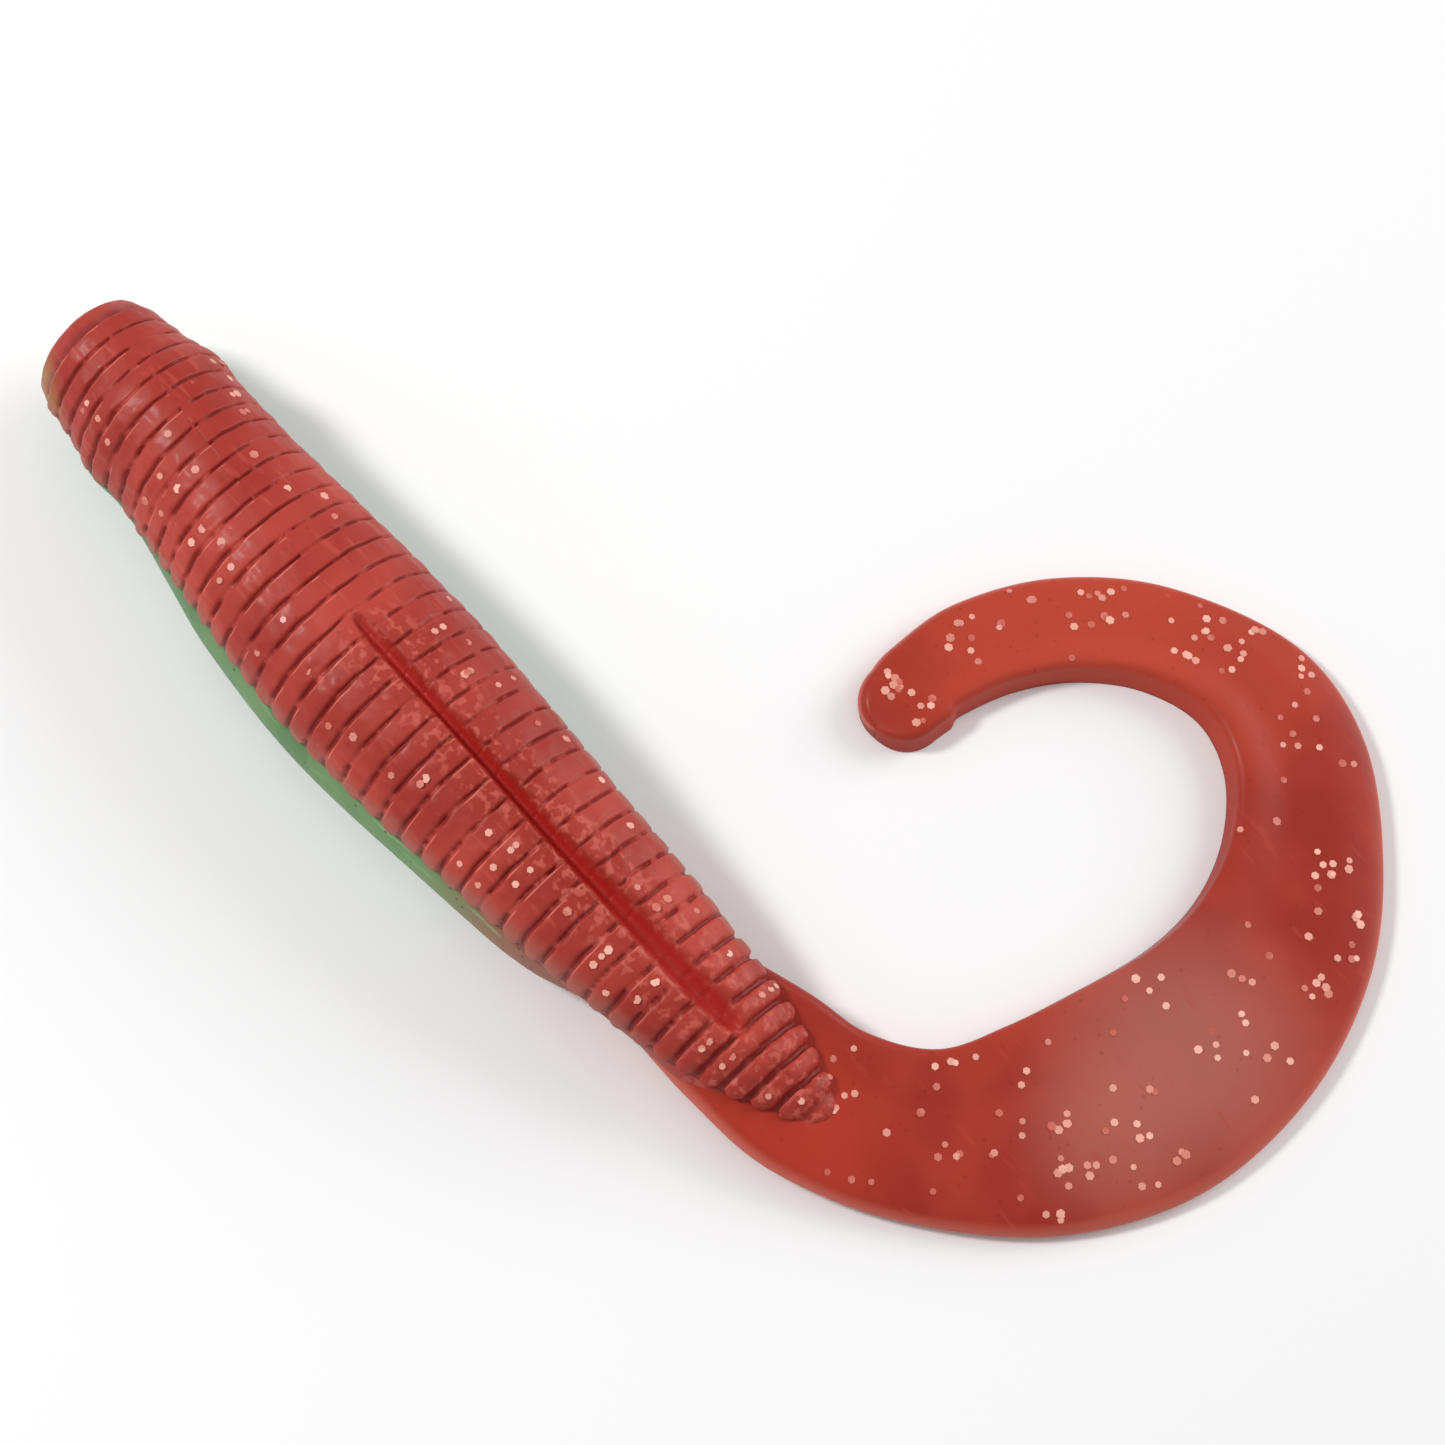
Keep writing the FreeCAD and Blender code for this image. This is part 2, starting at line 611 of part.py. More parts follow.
def build():
    """All nodes of the worm, by name."""
    back = ribbed_back().cut(slot_tool())
    belly = green_belly()
    tail = ribbon()
    sway, nod = HINGES["body_sway"], HINGES["body_nod"]
    stem = ribbon_link(tail, [0, 1], None, HINGES["tail_sway"]).cut(belly)
    nodes = {
        "back_fore": one_solid(body_link(back, None, sway), "back_fore"),
        "back_mid": one_solid(body_link(back, sway, nod), "back_mid"),
        "back_rear": one_solid(body_link(back, nod, None).fuse(stem), "back_rear"),
        "belly_fore": one_solid(body_link(belly, None, sway), "belly_fore"),
        "belly_mid": one_solid(body_link(belly, sway, nod), "belly_mid"),
        "belly_rear": one_solid(body_link(belly, nod, None), "belly_rear"),
    }
    links = tail_links()
    for name, rows, start, end in links:
        nodes[name] = one_solid(ribbon_link(tail, rows, HINGES[start], HINGES[end]), name)
    end_region = [14, 15]
    nodes["tail_tip"] = one_solid(tip_link(tail, end_region, HINGES["tail_flap_4"]), "tail_tip")

    stretches = {"fore": (NOSE_AT, BEND_FRONT_AT), "mid": (BEND_FRONT_AT, BEND_REAR_AT),
                 "rear": (BEND_REAR_AT, SLOT_REAR_AT)}
    for name, (first, last) in stretches.items():
        nodes["flakes_" + name] = scatter(nodes["back_" + name], crest_places(first, last), FLAKES_PER_BODY_LINK)
    for name, rows, _, _ in links + [("tail_tip", end_region, None, None)]:
        nodes[name.replace("tail", "flakes")] = scatter(nodes[name], ribbon_places(rows), FLAKES_PER_TAIL_LINK)
    return nodes


def tip_link(solid, rows, start):
    """The last piece of the ribbon, past its last hinge."""
    _, direction, width = across(rows[-1])
    first, last = edge_pair(rows[0]), edge_pair(rows[-1])
    ahead = (last[0] + last[1]) * 0.5 - (first[0] + first[1]) * 0.5
    ahead.normalize()
    reach = direction * 2.0
    outline = [first[0] - reach, last[0] - reach, last[0] - reach + ahead * 2 * TIP_RADIUS,
               last[1] + reach + ahead * 2 * TIP_RADIUS, last[1] + reach, first[1] + reach]
    region = Part.Face(Part.makePolygon(outline + outline[:1])).extrude(V(0, 0, BACK_HEIGHT))
    return solid.common(region).cut(start.barrel(TAIL_GAP))


def main():
    """Write every node to parts/ and print what the record needs."""
    os.makedirs("parts", exist_ok=True)
    nodes = build()
    for name, shape in nodes.items():
        shape.exportStep(os.path.join("parts", name + ".step"))
        box = shape.BoundBox
        print(name, len(shape.Solids), "solids", "valid" if shape.isValid() else "INVALID",
              round(shape.Volume, 2), "mm3", [round(v, 2) for v in (box.XMin, box.XMax, box.YMin, box.YMax,
                                                                    box.ZMin, box.ZMax)])
    for hinge in HINGES.values():
        print("hinge", hinge.name, [round(v, 3) for v in hinge.point], [round(v, 5) for v in hinge.axis],
              "radius", round(hinge.radius, 2))
    print("ribs", len(GROOVES) - 1)


main()
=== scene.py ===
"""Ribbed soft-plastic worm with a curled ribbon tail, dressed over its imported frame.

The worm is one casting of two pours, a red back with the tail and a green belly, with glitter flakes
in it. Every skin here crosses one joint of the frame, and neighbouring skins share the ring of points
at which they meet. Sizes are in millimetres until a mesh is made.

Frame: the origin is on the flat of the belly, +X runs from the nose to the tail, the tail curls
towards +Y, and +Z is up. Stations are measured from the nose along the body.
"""
import logging
import math
import random
from dataclasses import dataclass, field
from enum import Enum
from typing import Callable, Iterable, Sequence

import bmesh
import bpy
from mathutils import Matrix, Vector, noise


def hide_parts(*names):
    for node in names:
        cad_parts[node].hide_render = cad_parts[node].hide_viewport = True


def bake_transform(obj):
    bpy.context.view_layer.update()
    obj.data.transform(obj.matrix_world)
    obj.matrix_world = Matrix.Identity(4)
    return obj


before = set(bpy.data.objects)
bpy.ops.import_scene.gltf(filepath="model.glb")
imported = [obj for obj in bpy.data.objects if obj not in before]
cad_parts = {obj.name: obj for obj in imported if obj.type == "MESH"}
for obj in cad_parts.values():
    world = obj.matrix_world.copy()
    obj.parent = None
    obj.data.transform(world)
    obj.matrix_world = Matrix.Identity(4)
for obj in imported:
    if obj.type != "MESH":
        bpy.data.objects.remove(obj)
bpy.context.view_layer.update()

log = logging.getLogger("worm")

MM = 0.001
NOSE_X = -34.0
BACK_END = 73.6
BELLY_END = 60.0
Point = tuple[float, float]
Colour = tuple[float, float, float]


class Pour(Enum):
    """Material slots of the record that a piece can take its finish from."""

    RED = "red_plastisol"
    GREEN = "green_plastisol"
    GLITTER = "glitter_flake"


class Mark(Enum):
    """Names of the numbers that every point of a skin carries for its finish."""

    # painted shade: how deep a point lies in a groove, which darkens it
    GROOVE = "groove"
    # painted glow: how deep a point lies in the hook slot, which turns it deep red
    SLOT = "slot"
    SKIRT = "skirt"
    CRUMB = "crumb"
    # painted highlight: the share across the tail, which puts a pale rim on its outer edge
    EDGE = "edge"
    # painted highlight: a pale line along the front edge of each rib's crest
    CREST = "crest"
    # painted glint: how much a flake shines, from dim and deep in the plastic to bright
    SHINE = "shine"


def clamp(value: float, low: float = 0.0, high: float = 1.0) -> float:
    """The value, held between two limits."""
    return max(low, min(high, value))


def ease(value: float, start: float = 0.0, end: float = 1.0) -> float:
    """How far the value has come from start to end, as a smooth step from 0 to 1."""
    t = clamp((value - start) / (end - start))
    return t * t * (3 - 2 * t)


def mingle(a: float, b: float, share: float) -> float:
    """The number that lies a share of the way from a to b."""
    return a + (b - a) * share


def rough(x: float, y: float, z: float) -> float:
    """Smooth noise at a point, from about -1 to 1."""
    return noise.noise(Vector((x, y, z)))


def srgb(red: int, green: int, blue: int) -> Colour:
    """A colour written as 0 to 255 per channel, turned into linear light."""
    def channel(value: float) -> float:
        """One channel in linear light."""
        value /= 255
        return value / 12.92 if value <= 0.04045 else ((value + 0.055) / 1.055) ** 2.4

    return channel(red), channel(green), channel(blue)


@dataclass(frozen=True)
class Taper:
    """A size that changes smoothly along a length, given at some stops in rising order."""

    stops: tuple[Point, ...]

    def slope(self, i: int) -> float:
        """Slope at a stop, level at a peak or a hollow so that the curve never overshoots.

        Args:
            i: Number of the stop.

        Returns:
            The slope there.
        """
        last = len(self.stops) - 1
        rises = [(self.stops[k + 1][1] - self.stops[k][1]) / (self.stops[k + 1][0] - self.stops[k][0])
                 for k in (max(i - 1, 0), min(i, last - 1))]
        if i in (0, last):
            return rises[0] if i == last else rises[1]
        if rises[0] * rises[1] <= 0:
            return 0.0
        return 2 * rises[0] * rises[1] / (rises[0] + rises[1])

    def at(self, place: float) -> float:
        """The size at a place.

        Args:
            place: Where along the length.

        Returns:
            The size there, held at its end values outside the stops.
        """
        if place <= self.stops[0][0]:
            return self.stops[0][1]
        if place >= self.stops[-1][0]:
            return self.stops[-1][1]
        i = max(k for k in range(len(self.stops) - 1) if self.stops[k][0] <= place)
        (x0, y0), (x1, y1) = self.stops[i], self.stops[i + 1]
        span = x1 - x0
        t = (place - x0) / span
        return ((2 * t ** 3 - 3 * t ** 2 + 1) * y0 + (t ** 3 - 2 * t ** 2 + t) * span * self.slope(i)
                + (3 * t ** 2 - 2 * t ** 3) * y1 + (t ** 3 - t ** 2) * span * self.slope(i + 1))


Marks = dict[Mark, list[float]]


@dataclass
class Ring:
    """One closed ring of a skin: its points, and the marks that each point carries."""

    points: list[Vector]
    marks: Marks


# ---- making pieces ----
def placed(name: str, data: bpy.types.ID) -> bpy.types.Object:
    """A new object of the scene that shows some data."""
    made = bpy.data.objects.new(name, data)
    bpy.context.scene.collection.objects.link(made)
    return made


def facing(eye: Vector, aim: Vector) -> Matrix:
    """Place and turn, in metres, of a camera or a lamp that looks from one point at another."""
    turn = (aim - eye).to_track_quat("-Z", "Y").to_matrix().to_4x4()
    return Matrix.Translation(eye * MM) @ turn


def piece_from(bm: bmesh.types.BMesh, name: str) -> bpy.types.Object:
    """An object of the scene that holds a bmesh, at the origin.

    Args:
        bm: The mesh in millimetres. It is freed.
        name: Name of the piece.

    Returns:
        The new object.
    """
    bmesh.ops.scale(bm, vec=(MM, MM, MM), verts=bm.verts)
    mesh = bpy.data.meshes.new(name)
    bm.to_mesh(mesh)
    bm.free()
    return placed(name, mesh)


def skin(name: str, rings: Sequence[Ring]) -> bpy.types.Object:
    """A closed skin over a row of rings.

    A grid is rolled into a tube, its points are moved on to the rings, and its two ends are filled.
    The end faces are sharp, so that the shading runs on over the neighbouring skin.

    Args:
        name: Name of the piece.
        rings: Rings from one end to the other, all with the same number of points.

    Returns:
        The piece.
    """
    around, along = len(rings[0].points), len(rings)
    bm = bmesh.new()
    bmesh.ops.create_grid(bm, x_segments=around, y_segments=along - 1, size=1.0)
    layers = {mark: bm.verts.layers.float.new(mark.value) for mark in rings[0].marks}
    bm.verts.ensure_lookup_table()
    for vert in bm.verts:
        row, column = divmod(vert.index, around + 1)
        ring, column = rings[row], column % around
        vert.co = ring.points[column]
        for mark, layer in layers.items():
            vert[layer] = ring.marks[mark][column]
    bmesh.ops.remove_doubles(bm, verts=bm.verts, dist=1e-5)
    open_edges = [edge for edge in bm.edges if edge.is_boundary]
    caps = bmesh.ops.holes_fill(bm, edges=open_edges, sides=0)["faces"]
    for face in bm.faces:
        face.smooth = True
    for cap in caps:
        cap.smooth = False
        for edge in cap.edges:
            edge.smooth = False
    bmesh.ops.recalc_face_normals(bm, faces=bm.faces)
    return piece_from(bm, name)


def dress(piece: bpy.types.Object, finish: bpy.types.Material, pour: Pour, nodes: Sequence[str]) -> None:
    """Gives a piece its material, hides the frame's nodes that it stands for, and logs it.

    Args:
        piece: The piece.
        finish: Its material.
        pour: Its slot in the record; not used.
        nodes: Names of the nodes that it replaces.
    """
    piece.data.materials.append(finish)
    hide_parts(*nodes)
    log.info("%s: %d points, %d faces, stands for %s", piece.name, len(piece.data.vertices),
             len(piece.data.polygons), ", ".join(nodes))


@dataclass(frozen=True)
class Bend:
    """The stretch over which a skin crosses from one body to the next."""

    before: str
    after: str
    start: Vector
    end: Vector

    def over(self, piece: bpy.types.Object) -> None:
        """Bakes a finished piece's placement into its mesh."""
        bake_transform(piece)


# ---- the body ----
@dataclass(frozen=True)
class Body:
    """Sizes of the ribbed body over its rib crests, by station from the nose."""

    length: float = BACK_END
    wide: Taper = Taper(((2.6, 10.0), (5.2, 10.8), (7.9, 12.0), (10.2, 11.6), (14.0, 12.1), (32.0, 14.4),
                         (50.0, 12.3), (64.0, 9.3), (72.2, 4.4)))
    high: Taper = Taper(((2.6, 10.4), (5.2, 10.8), (7.9, 11.6), (23.0, 12.0), (32.0, 12.0), (50.0, 10.0),
                         (64.0, 6.9), (72.2, 3.7)))
    low: Taper = Taper(((2.6, 1.5), (18.0, 0.0), (48.0, 0.0), (60.0, 0.9)))
    parting: Taper = Taper(((0.0, 4.3), (12.0, 4.3), (22.0, 6.0), (48.0, 6.0), (60.0, 4.7), (73.6, 2.2)))
    bulge: Taper = Taper(((0.0, -0.6), (12.0, -0.4), (17.0, 0.4), (22.0, 1.2), (32.0, 1.3), (44.0, 0.9),
                          (50.0, 0.9), (55.0, 0.3), (60.0, 0.0)))
    bow: Taper = Taper(((2.6, 0.75), (7.9, 0.75), (22.0, -0.25), (32.0, -0.5), (48.0, -0.4), (60.0, 0.25),
                        (64.0, 0.6), (73.6, 1.9)))
    nose_rounding: float = 2.4
    nose_squareness: float = 5.0
    nose_axis: float = 5.9
    end_rounding: float = 1.5
    dome_fullness: float = 0.57
    belly_fullness: float = 0.78

    def nose_share(self, at: float) -> float:
        """How much of the full section is left where the nose rounds off."""
        if at >= self.nose_rounding:
            return 1.0
        left = 1 - (1 - max(at, 0) / self.nose_rounding) ** 2
        return max(left ** (1 / self.nose_squareness), 0.03)

    def end_share(self, at: float) -> float:
        """How much of the back's section is left where its last rib rounds off."""
        left = clamp((self.length - at) / self.end_rounding)
        return 0.12 + 0.88 * math.sqrt(1 - (1 - left) ** 2)

    def nose_stations(self) -> list[float]:
        """Stations over the rounded nose, closer together where it turns fast."""
        shares = (0.03, 0.12, 0.22, 0.32, 0.42, 0.52, 0.6, 0.68, 0.75, 0.81, 0.86)
        return [self.nose_rounding * (1 - math.sqrt(1 - share ** self.nose_squareness)) for share in shares]


@dataclass(frozen=True)
class Ribs:
    """The ribs over the back: low and close, with narrow uneven grooves, and like fingers at the tail."""

    relief: Taper = Taper(((8.0, 0.2), (12.0, 0.22), (58.0, 0.24), (66.0, 0.42), (73.6, 0.5)))
    groove: Taper = Taper(((50.0, 0.1), (66.0, 0.22), (73.6, 0.26)))
    edge: Taper = Taper(((50.0, 0.13), (66.0, 0.26), (73.6, 0.3)))
    soft_edge: float = 0.12
    crown: float = 0.05
    first: float = 1.9
    pitch: Taper = Taper(((0.0, 1.45), (32.0, 1.76), (50.0, 1.76), (64.0, 1.64)))
    wobble: float = 0.1
    uneven: float = 0.35
    most_filled: float = 0.75
    # place within the rib, as a part of its pitch, of the painted highlight line
    crest: float = 0.14
    steps: tuple[float, ...] = (0, 0.02, 0.04, 0.06, 0.08, 0.105, 0.14, 0.2, 0.3, 0.45, 0.6, 0.72, 0.81,
                                0.865, 0.905, 0.935, 0.96, 0.98)

    def grooves(self, length: float) -> list[float]:
        """Stations of the grooves, one before each rib and one after the last."""
        stations = [self.first]
        while stations[-1] < length - self.pitch.at(length):
            stations.append(stations[-1] + self.pitch.at(stations[-1]))
        return stations

    def height(self, at: float, from_middle: float, width: float, to_end: float, soft: float) -> float:
        """Height of the surface over the groove floor.

        Args:
            at: Station.
            from_middle: Distance along the body from the middle of the rib.
            width: Pitch of the rib.
            to_end: Distance over the skin from the nearest end of the rib, below 0 outside it.
            soft: How far the rib's edges are rounded more, from 0 to 1.

        Returns:
            The height, with the rib's rounded end and its soft edges.
        """
        half = 0.5 * (width - self.groove.at(at))
        inside = half - (math.hypot(from_middle, half - to_end) if to_end < half else abs(from_middle))
        rise = ease(inside, -0.04, self.edge.at(at) + self.soft_edge * soft)
        return self.relief.at(at) * (1 + 0.25 * soft) * rise + self.crown * rise * clamp(inside / half)


@dataclass(frozen=True)
class HookSlot:
    """The slot in the back: a narrow valley that widens towards its rounded rear end."""

    front: float = 29.2
    rear: float = 66.3
    half: Taper = Taper(((29.2, 0.25), (30.4, 0.65), (33.0, 0.8), (40.0, 0.75), (52.0, 0.95), (61.0, 1.3),
                         (64.6, 1.15), (66.3, 0.7)))
    depth: Taper = Taper(((29.2, 0.0), (30.6, 0.5), (36.0, 0.75), (50.0, 0.95), (60.0, 0.95), (64.6, 0.75),
                          (66.3, 0.0)))

    def shape(self, share: float) -> float:
        """Depth across the slot, from 1 in the middle to 0 at the lip, as a part of the full depth."""
        return (0.5 + 0.5 * math.cos(math.pi * clamp(share))) ** 0.95


BACK_MARKS = (Mark.GROOVE, Mark.SLOT, Mark.SKIRT, Mark.CRUMB, Mark.CREST)


@dataclass
class RibbedBack:
    """The red back: the dome, its ribs and the hook slot."""

    body: Body
    ribs: Ribs
    slot: HookSlot
    side_steps: int = 50
    lip_steps: int = 9
    base_steps: int = 5
    skirt_flare: float = 0.7
    skirt_dip: float = 0.8
    skirt_gap: float = 0.12
    skirt_widening: float = 0.9
    # strength of the painted highlight on the rib crests of each flank, stronger on the side towards the
    # glint lamp
    crest_highlight_left: float = 0.9
    crest_highlight_right: float = 0.35
    full_slot_tint_at: float = 0.7
    end_shares: tuple[float, ...] = (0.3, 0.55, 0.75, 0.9, 1.0)

    def __post_init__(self) -> None:
        """Works out the stations of the grooves."""
        self.grooves = self.ribs.grooves(self.body.length)

    def seam(self, at: float) -> float:
        """Station of the groove nearest to a station."""
        return min(self.grooves, key=lambda groove: abs(groove - at))

    def arch(self, at: float) -> Callable[[float], tuple[Point, Point]]:
        """Left half of the dome's section at the level of the groove floors.

        Args:
            at: Station.

        Returns:
            A function from 0 at the parting line to 1 on top, to the point and the normal there.
        """
        body = self.body
        share = body.nose_share(at) * body.end_share(at)
        axis = body.nose_axis if at < body.nose_rounding else body.parting.at(at)
        low = axis + (body.parting.at(at) - axis) * share
        relief = self.ribs.relief.at(at)
        wide = (0.5 * body.wide.at(at) - relief) * share
        high = max(axis + (body.high.at(at) - relief - axis) * share, low + 0.05)
        full = body.dome_fullness
        flare = self.skirt_flare * ease(at, 61.0, 68.0) * share
        dip = self.skirt_dip * ease(at, 58.0, 64.0)
        poles = [(-wide - flare, low - dip), (-wide, low + (full - 0.12 * ease(at, 61, 68)) * (high - low)),
                 (-full * wide, high), (0.0, high)]

        def point(t: float) -> tuple[Point, Point]:
            """Point and outward normal of the Bezier arch at t."""
            u = 1 - t
            weights = (u ** 3, 3 * u * u * t, 3 * u * t * t, t ** 3)
            y = sum(w * p[0] for w, p in zip(weights, poles))
            z = sum(w * p[1] for w, p in zip(weights, poles))
            slopes = (u * u, 2 * u * t, t * t)
            dy = sum(w * (poles[k + 1][0] - poles[k][0]) for k, w in enumerate(slopes))
            dz = sum(w * (poles[k + 1][1] - poles[k][1]) for k, w in enumerate(slopes))
            size = math.hypot(dy, dz) or 1.0
            return (y, z), (-dz / size, dy / size)

        return point

    def lip(self, arch: Callable[[float], tuple[Point, Point]], half: float) -> float:
        """Place on the arch at which the slot's lip lies."""
        low, high = 0.0, 1.0
        for _ in range(24):
            middle = 0.5 * (low + high)
            low, high = (middle, high) if arch(middle)[0][0] < -half else (low, middle)
        return low

    def filled(self, at: float, along: float) -> float:
        """How far a groove is filled in at a place, since the mould's ribs are rubbed down and uneven.

        Args:
            at: Station, which picks the groove.
            along: Distance over the skin from the parting line, below 0 on the left.

        Returns:
            A share from 0 to 0.75.
        """
        groove = self.seam(at)
        uneven = rough(groove * 7.3, along * 0.9, 1.7) + 0.5 * rough(groove * 5.1, along * 2.9, 6.2)
        return self.ribs.most_filled * ease(uneven, -0.1, 0.5) * (1 - ease(at, 60, 66))

    def rise(self, at: float, phase: float, pitch: float, along: float, lip_run: float,
             to_end: float) -> float:
        """Height of the skin over the level of the groove floors.

        Args:
            at: Station.
            phase: Place within the rib, from 0 to 1.
            pitch: Pitch of the rib, or 0 on the smooth nose.
            along: Distance over the skin from the parting line, below 0 on the left.
            lip_run: The same distance at the slot's lip, never below 0.
            to_end: Distance over the skin from the nearest end of the rib.

        Returns:
            The height.
        """
        relief = self.ribs.relief.at(at)
        uneven = 1 + self.ribs.uneven * rough(at * 0.6, along * 1.3, 9.7)
        if not pitch:
            return relief * uneven
        shift = self.ribs.wobble * rough(at * 0.9, along * 0.8, 3.1)
        soft = ease(lip_run + along, 1.0, 4.0) if along < 0 else 0.0
        rise = self.ribs.height(at, (phase - 0.5) * pitch + shift, pitch, to_end, soft)
        rise *= uneven
        return mingle(rise, relief, self.filled(at, along) if to_end > 0.4 else 0.0)

    def flank(self, at: float, phase: float, pitch: float, side: float) -> tuple[list[Point], Marks]:
        """Points of one half of a ring, from the parting line to the middle of the back.

        Args:
            at: Station.
            phase: Place within the rib, from 0 at its front groove to 1 at the next.
            pitch: Pitch of the rib, or 0 on the smooth nose.
            side: -1 for the half away from the tail's curl, 1 for the other.

        Returns:
            The points across the section, and their marks.
        """
        slot = self.slot
        slotted = slot.front < at < slot.rear
        half = min(slot.half.at(at), 0.5 * self.body.wide.at(at) * 0.5)
        deep = slot.depth.at(at) if slotted else 0.0
        arch = self.arch(at)
        lip = self.lip(arch, half if self.body.nose_share(at) > 0.5 else 0.05 * half)
        places = [lip * k / self.side_steps for k in range(self.side_steps)]
        places += [mingle(lip, 1.0, k / self.lip_steps) for k in range(self.lip_steps + 1)]
        base = [arch(t) for t in places]
        run = [0.0]
        for (a, _), (b, _) in zip(base[:-1], base[1:]):
            run.append(run[-1] + math.dist(a, b))
        lip_run = run[self.side_steps]
        relief = self.ribs.relief.at(at)
        skirt = self.skirt_gap + self.skirt_widening * ease(at, 59, 66)
        points: list[Point] = []
        marks: Marks = {mark: [] for mark in BACK_MARKS}
        for ((y, z), (ny, nz)), along in zip(base, run):
            to_end = along - skirt
            if slotted:
                to_end = max(to_end, 1.0) if along > 0.5 * lip_run else to_end
            rise = self.rise(at, phase, pitch, side * along, lip_run, to_end)
            valley = deep * slot.shape(-y / half) if y > -half * 1.001 else 0.0
            rise *= 1 - 0.8 * ease(valley, 0.05, 0.5)
            points.append((side * -(y + ny * rise), z + nz * rise - valley))
            # Painted shade: the groove mark darkens a point by how deep it lies in a groove, less where a
            # groove is filled and in the slot.
            hollow = 1 - clamp(rise / relief) if pitch and to_end > 0.1 else 0.0
            marks[Mark.GROOVE].append(hollow * (1 - ease(at, 71.6, 72.2)) * (1 - ease(valley, 0.0, 0.3)))
            # Painted highlight: a pale line on each rib's crest, broken up by noise, stronger on the flank
            # towards the glint lamp and gone in the slot.
            crest_highlight = self.crest_highlight_left if side < 0 else self.crest_highlight_right
            crest_highlight *= ease(rough(at * 1.9, side * along * 0.7, 4.4), -0.25, 0.35)
            on_crest = abs(phase - self.ribs.crest) < 1e-6 and to_end > 0.5
            marks[Mark.CREST].append(crest_highlight * (1 - ease(valley, 0.0, 0.3)) if on_crest else 0.0)
            # Painted glow: the slot mark gives the valley the deep red of light scattered into it through
            # the translucent plastic.
            marks[Mark.SLOT].append(clamp(valley / self.full_slot_tint_at))
            marks[Mark.SKIRT].append((1 - ease(along, 0.2, 3.6)) * (1 - ease(at, 60, 68)))
            near = (1 - ease(lip_run - along, 0.4, 3.4)) * ease(at, 27, 33) if slotted else 0.0
            marks[Mark.CRUMB].append(max(near, ease(at, 62, 69)))
        return points, marks

    def ring(self, at: float, phase: float, pitch: float) -> Ring:
        """One closed ring of the back: both halves of the dome, and the flat on the belly.

        Args:
            at: Station.
            phase: Place within the rib, from 0 to 1.
            pitch: Pitch of the rib, or 0 on the smooth nose.

        Returns:
            The ring.
        """
        left, left_marks = self.flank(at, phase, pitch, -1)
        right, right_marks = self.flank(at, phase, pitch, 1)
        outline = left + right[-2::-1]
        marks = {mark: values + right_marks[mark][-2::-1] for mark, values in left_marks.items()}
        first, last = outline[0], outline[-1]
        for k in range(1, self.base_steps):
            share = k / self.base_steps
            outline.append((mingle(last[0], first[0], share), mingle(last[1], first[1], share)))
            for values in marks.values():
                values.append(0.0)
        mid = self.body.bow.at(at)
        return Ring([Vector((at + NOSE_X, y + mid, z)) for y, z in outline], marks)

    def rings(self, start: float, end: float) -> list[Ring]:
        """Rings between two stations, each of which is a groove or an end of the back."""
        rings = []
        if start <= 0:
            rings += [self.ring(at, 0, 0) for at in self.body.nose_stations() if at < self.ribs.first]
        steps = self.ribs.steps
        for front, back in zip(self.grooves[:-1], self.grooves[1:]):
            if start - 1e-6 <= front and back <= end + 1e-6:
                rings += [self.ring(mingle(front, back, phase), phase, back - front) for phase in steps]
        final = self.seam(end)
        rings.append(self.ring(final, 0, self.ribs.pitch.at(final)))
        if end >= self.body.length:
            for share in self.end_shares:
                rings.append(self.ring(mingle(final, self.body.length, share), 0, self.ribs.pitch.at(final)))
        return rings


@dataclass
class GreenBelly:
    """The green belly under the parting line, flattened where it rests."""

    back: RibbedBack
    overlap: float = 0.02
    nose_to: float = 4.0
    inset: float = 0.7
    side_pull: float = 1.06
    end_half: float = 4.05
    end_low: float = 1.05
    end_fullness: float = 0.95
    around: int = 40
    top_steps: int = 5
    step: float = 0.7

    def ring(self, at: float) -> Ring:
        """One closed ring of the belly.

        Args:
            at: Station.

        Returns:
            The ring, which starts at the parting line on the side away from the curl.
        """
        body = self.back.body
        share = body.nose_share(at)
        axis = body.nose_axis
        narrow = ease(at, 53.0, 60.0)
        high = body.parting.at(at) + self.overlap
        if at < self.nose_to:
            high = axis + (high - axis) * share
        wide = (0.5 * body.wide.at(at) - self.inset * self.back.ribs.relief.at(at)) * share
        wide = mingle(wide, min(wide, self.end_half), narrow)
        low = mingle(axis + (body.low.at(at) - axis) * share, self.end_low, ease(at, 56.0, 60.0))
        out = wide + body.bulge.at(at) * share
        full = mingle(body.belly_fullness, self.end_fullness, narrow)
        points = []
        for k in range(self.around + 1):
            t = 2 * k / self.around
            mirror = -1 if t <= 1 else 1
            t = t if t <= 1 else 2 - t
            u = 1 - t
            y = u ** 3 * wide + 3 * u * u * t * out * self.side_pull + 3 * u * t * t * full * wide
            z = (u ** 3 * high + 3 * u * u * t * (high - full * (high - low))
                 + 3 * u * t * t * low + t ** 3 * low)
            z = max(z, 0.0)
            points.append(Vector((at + NOSE_X, mirror * y + body.bow.at(at), z)))
        first, last = points[0], points[-1]
        for k in range(1, self.top_steps):
            points.append(last.lerp(first, k / self.top_steps))
        return Ring(points, {})

    def rings(self, start: float, end: float) -> list[Ring]:
        """Rings of the belly between two stations."""
        rings = []
        at = start
        if start <= 0:
            rings += [self.ring(near) for near in self.back.body.nose_stations()]
            at = self.back.body.nose_rounding
        count = max(2, round((end - at) / self.step))
        rings += [self.ring(mingle(at, end, k / count)) for k in range(count + 1)]
        return rings


# ---- the tail ----
class Edge(Enum):
    """The two edges of the ribbon."""

    INNER = "inner"
    OUTER = "outer"


@dataclass(frozen=True)
class Row:
    """Where the tail's inner and outer edge lie in plan, with x from the nose."""

    inner: Point
    outer: Point


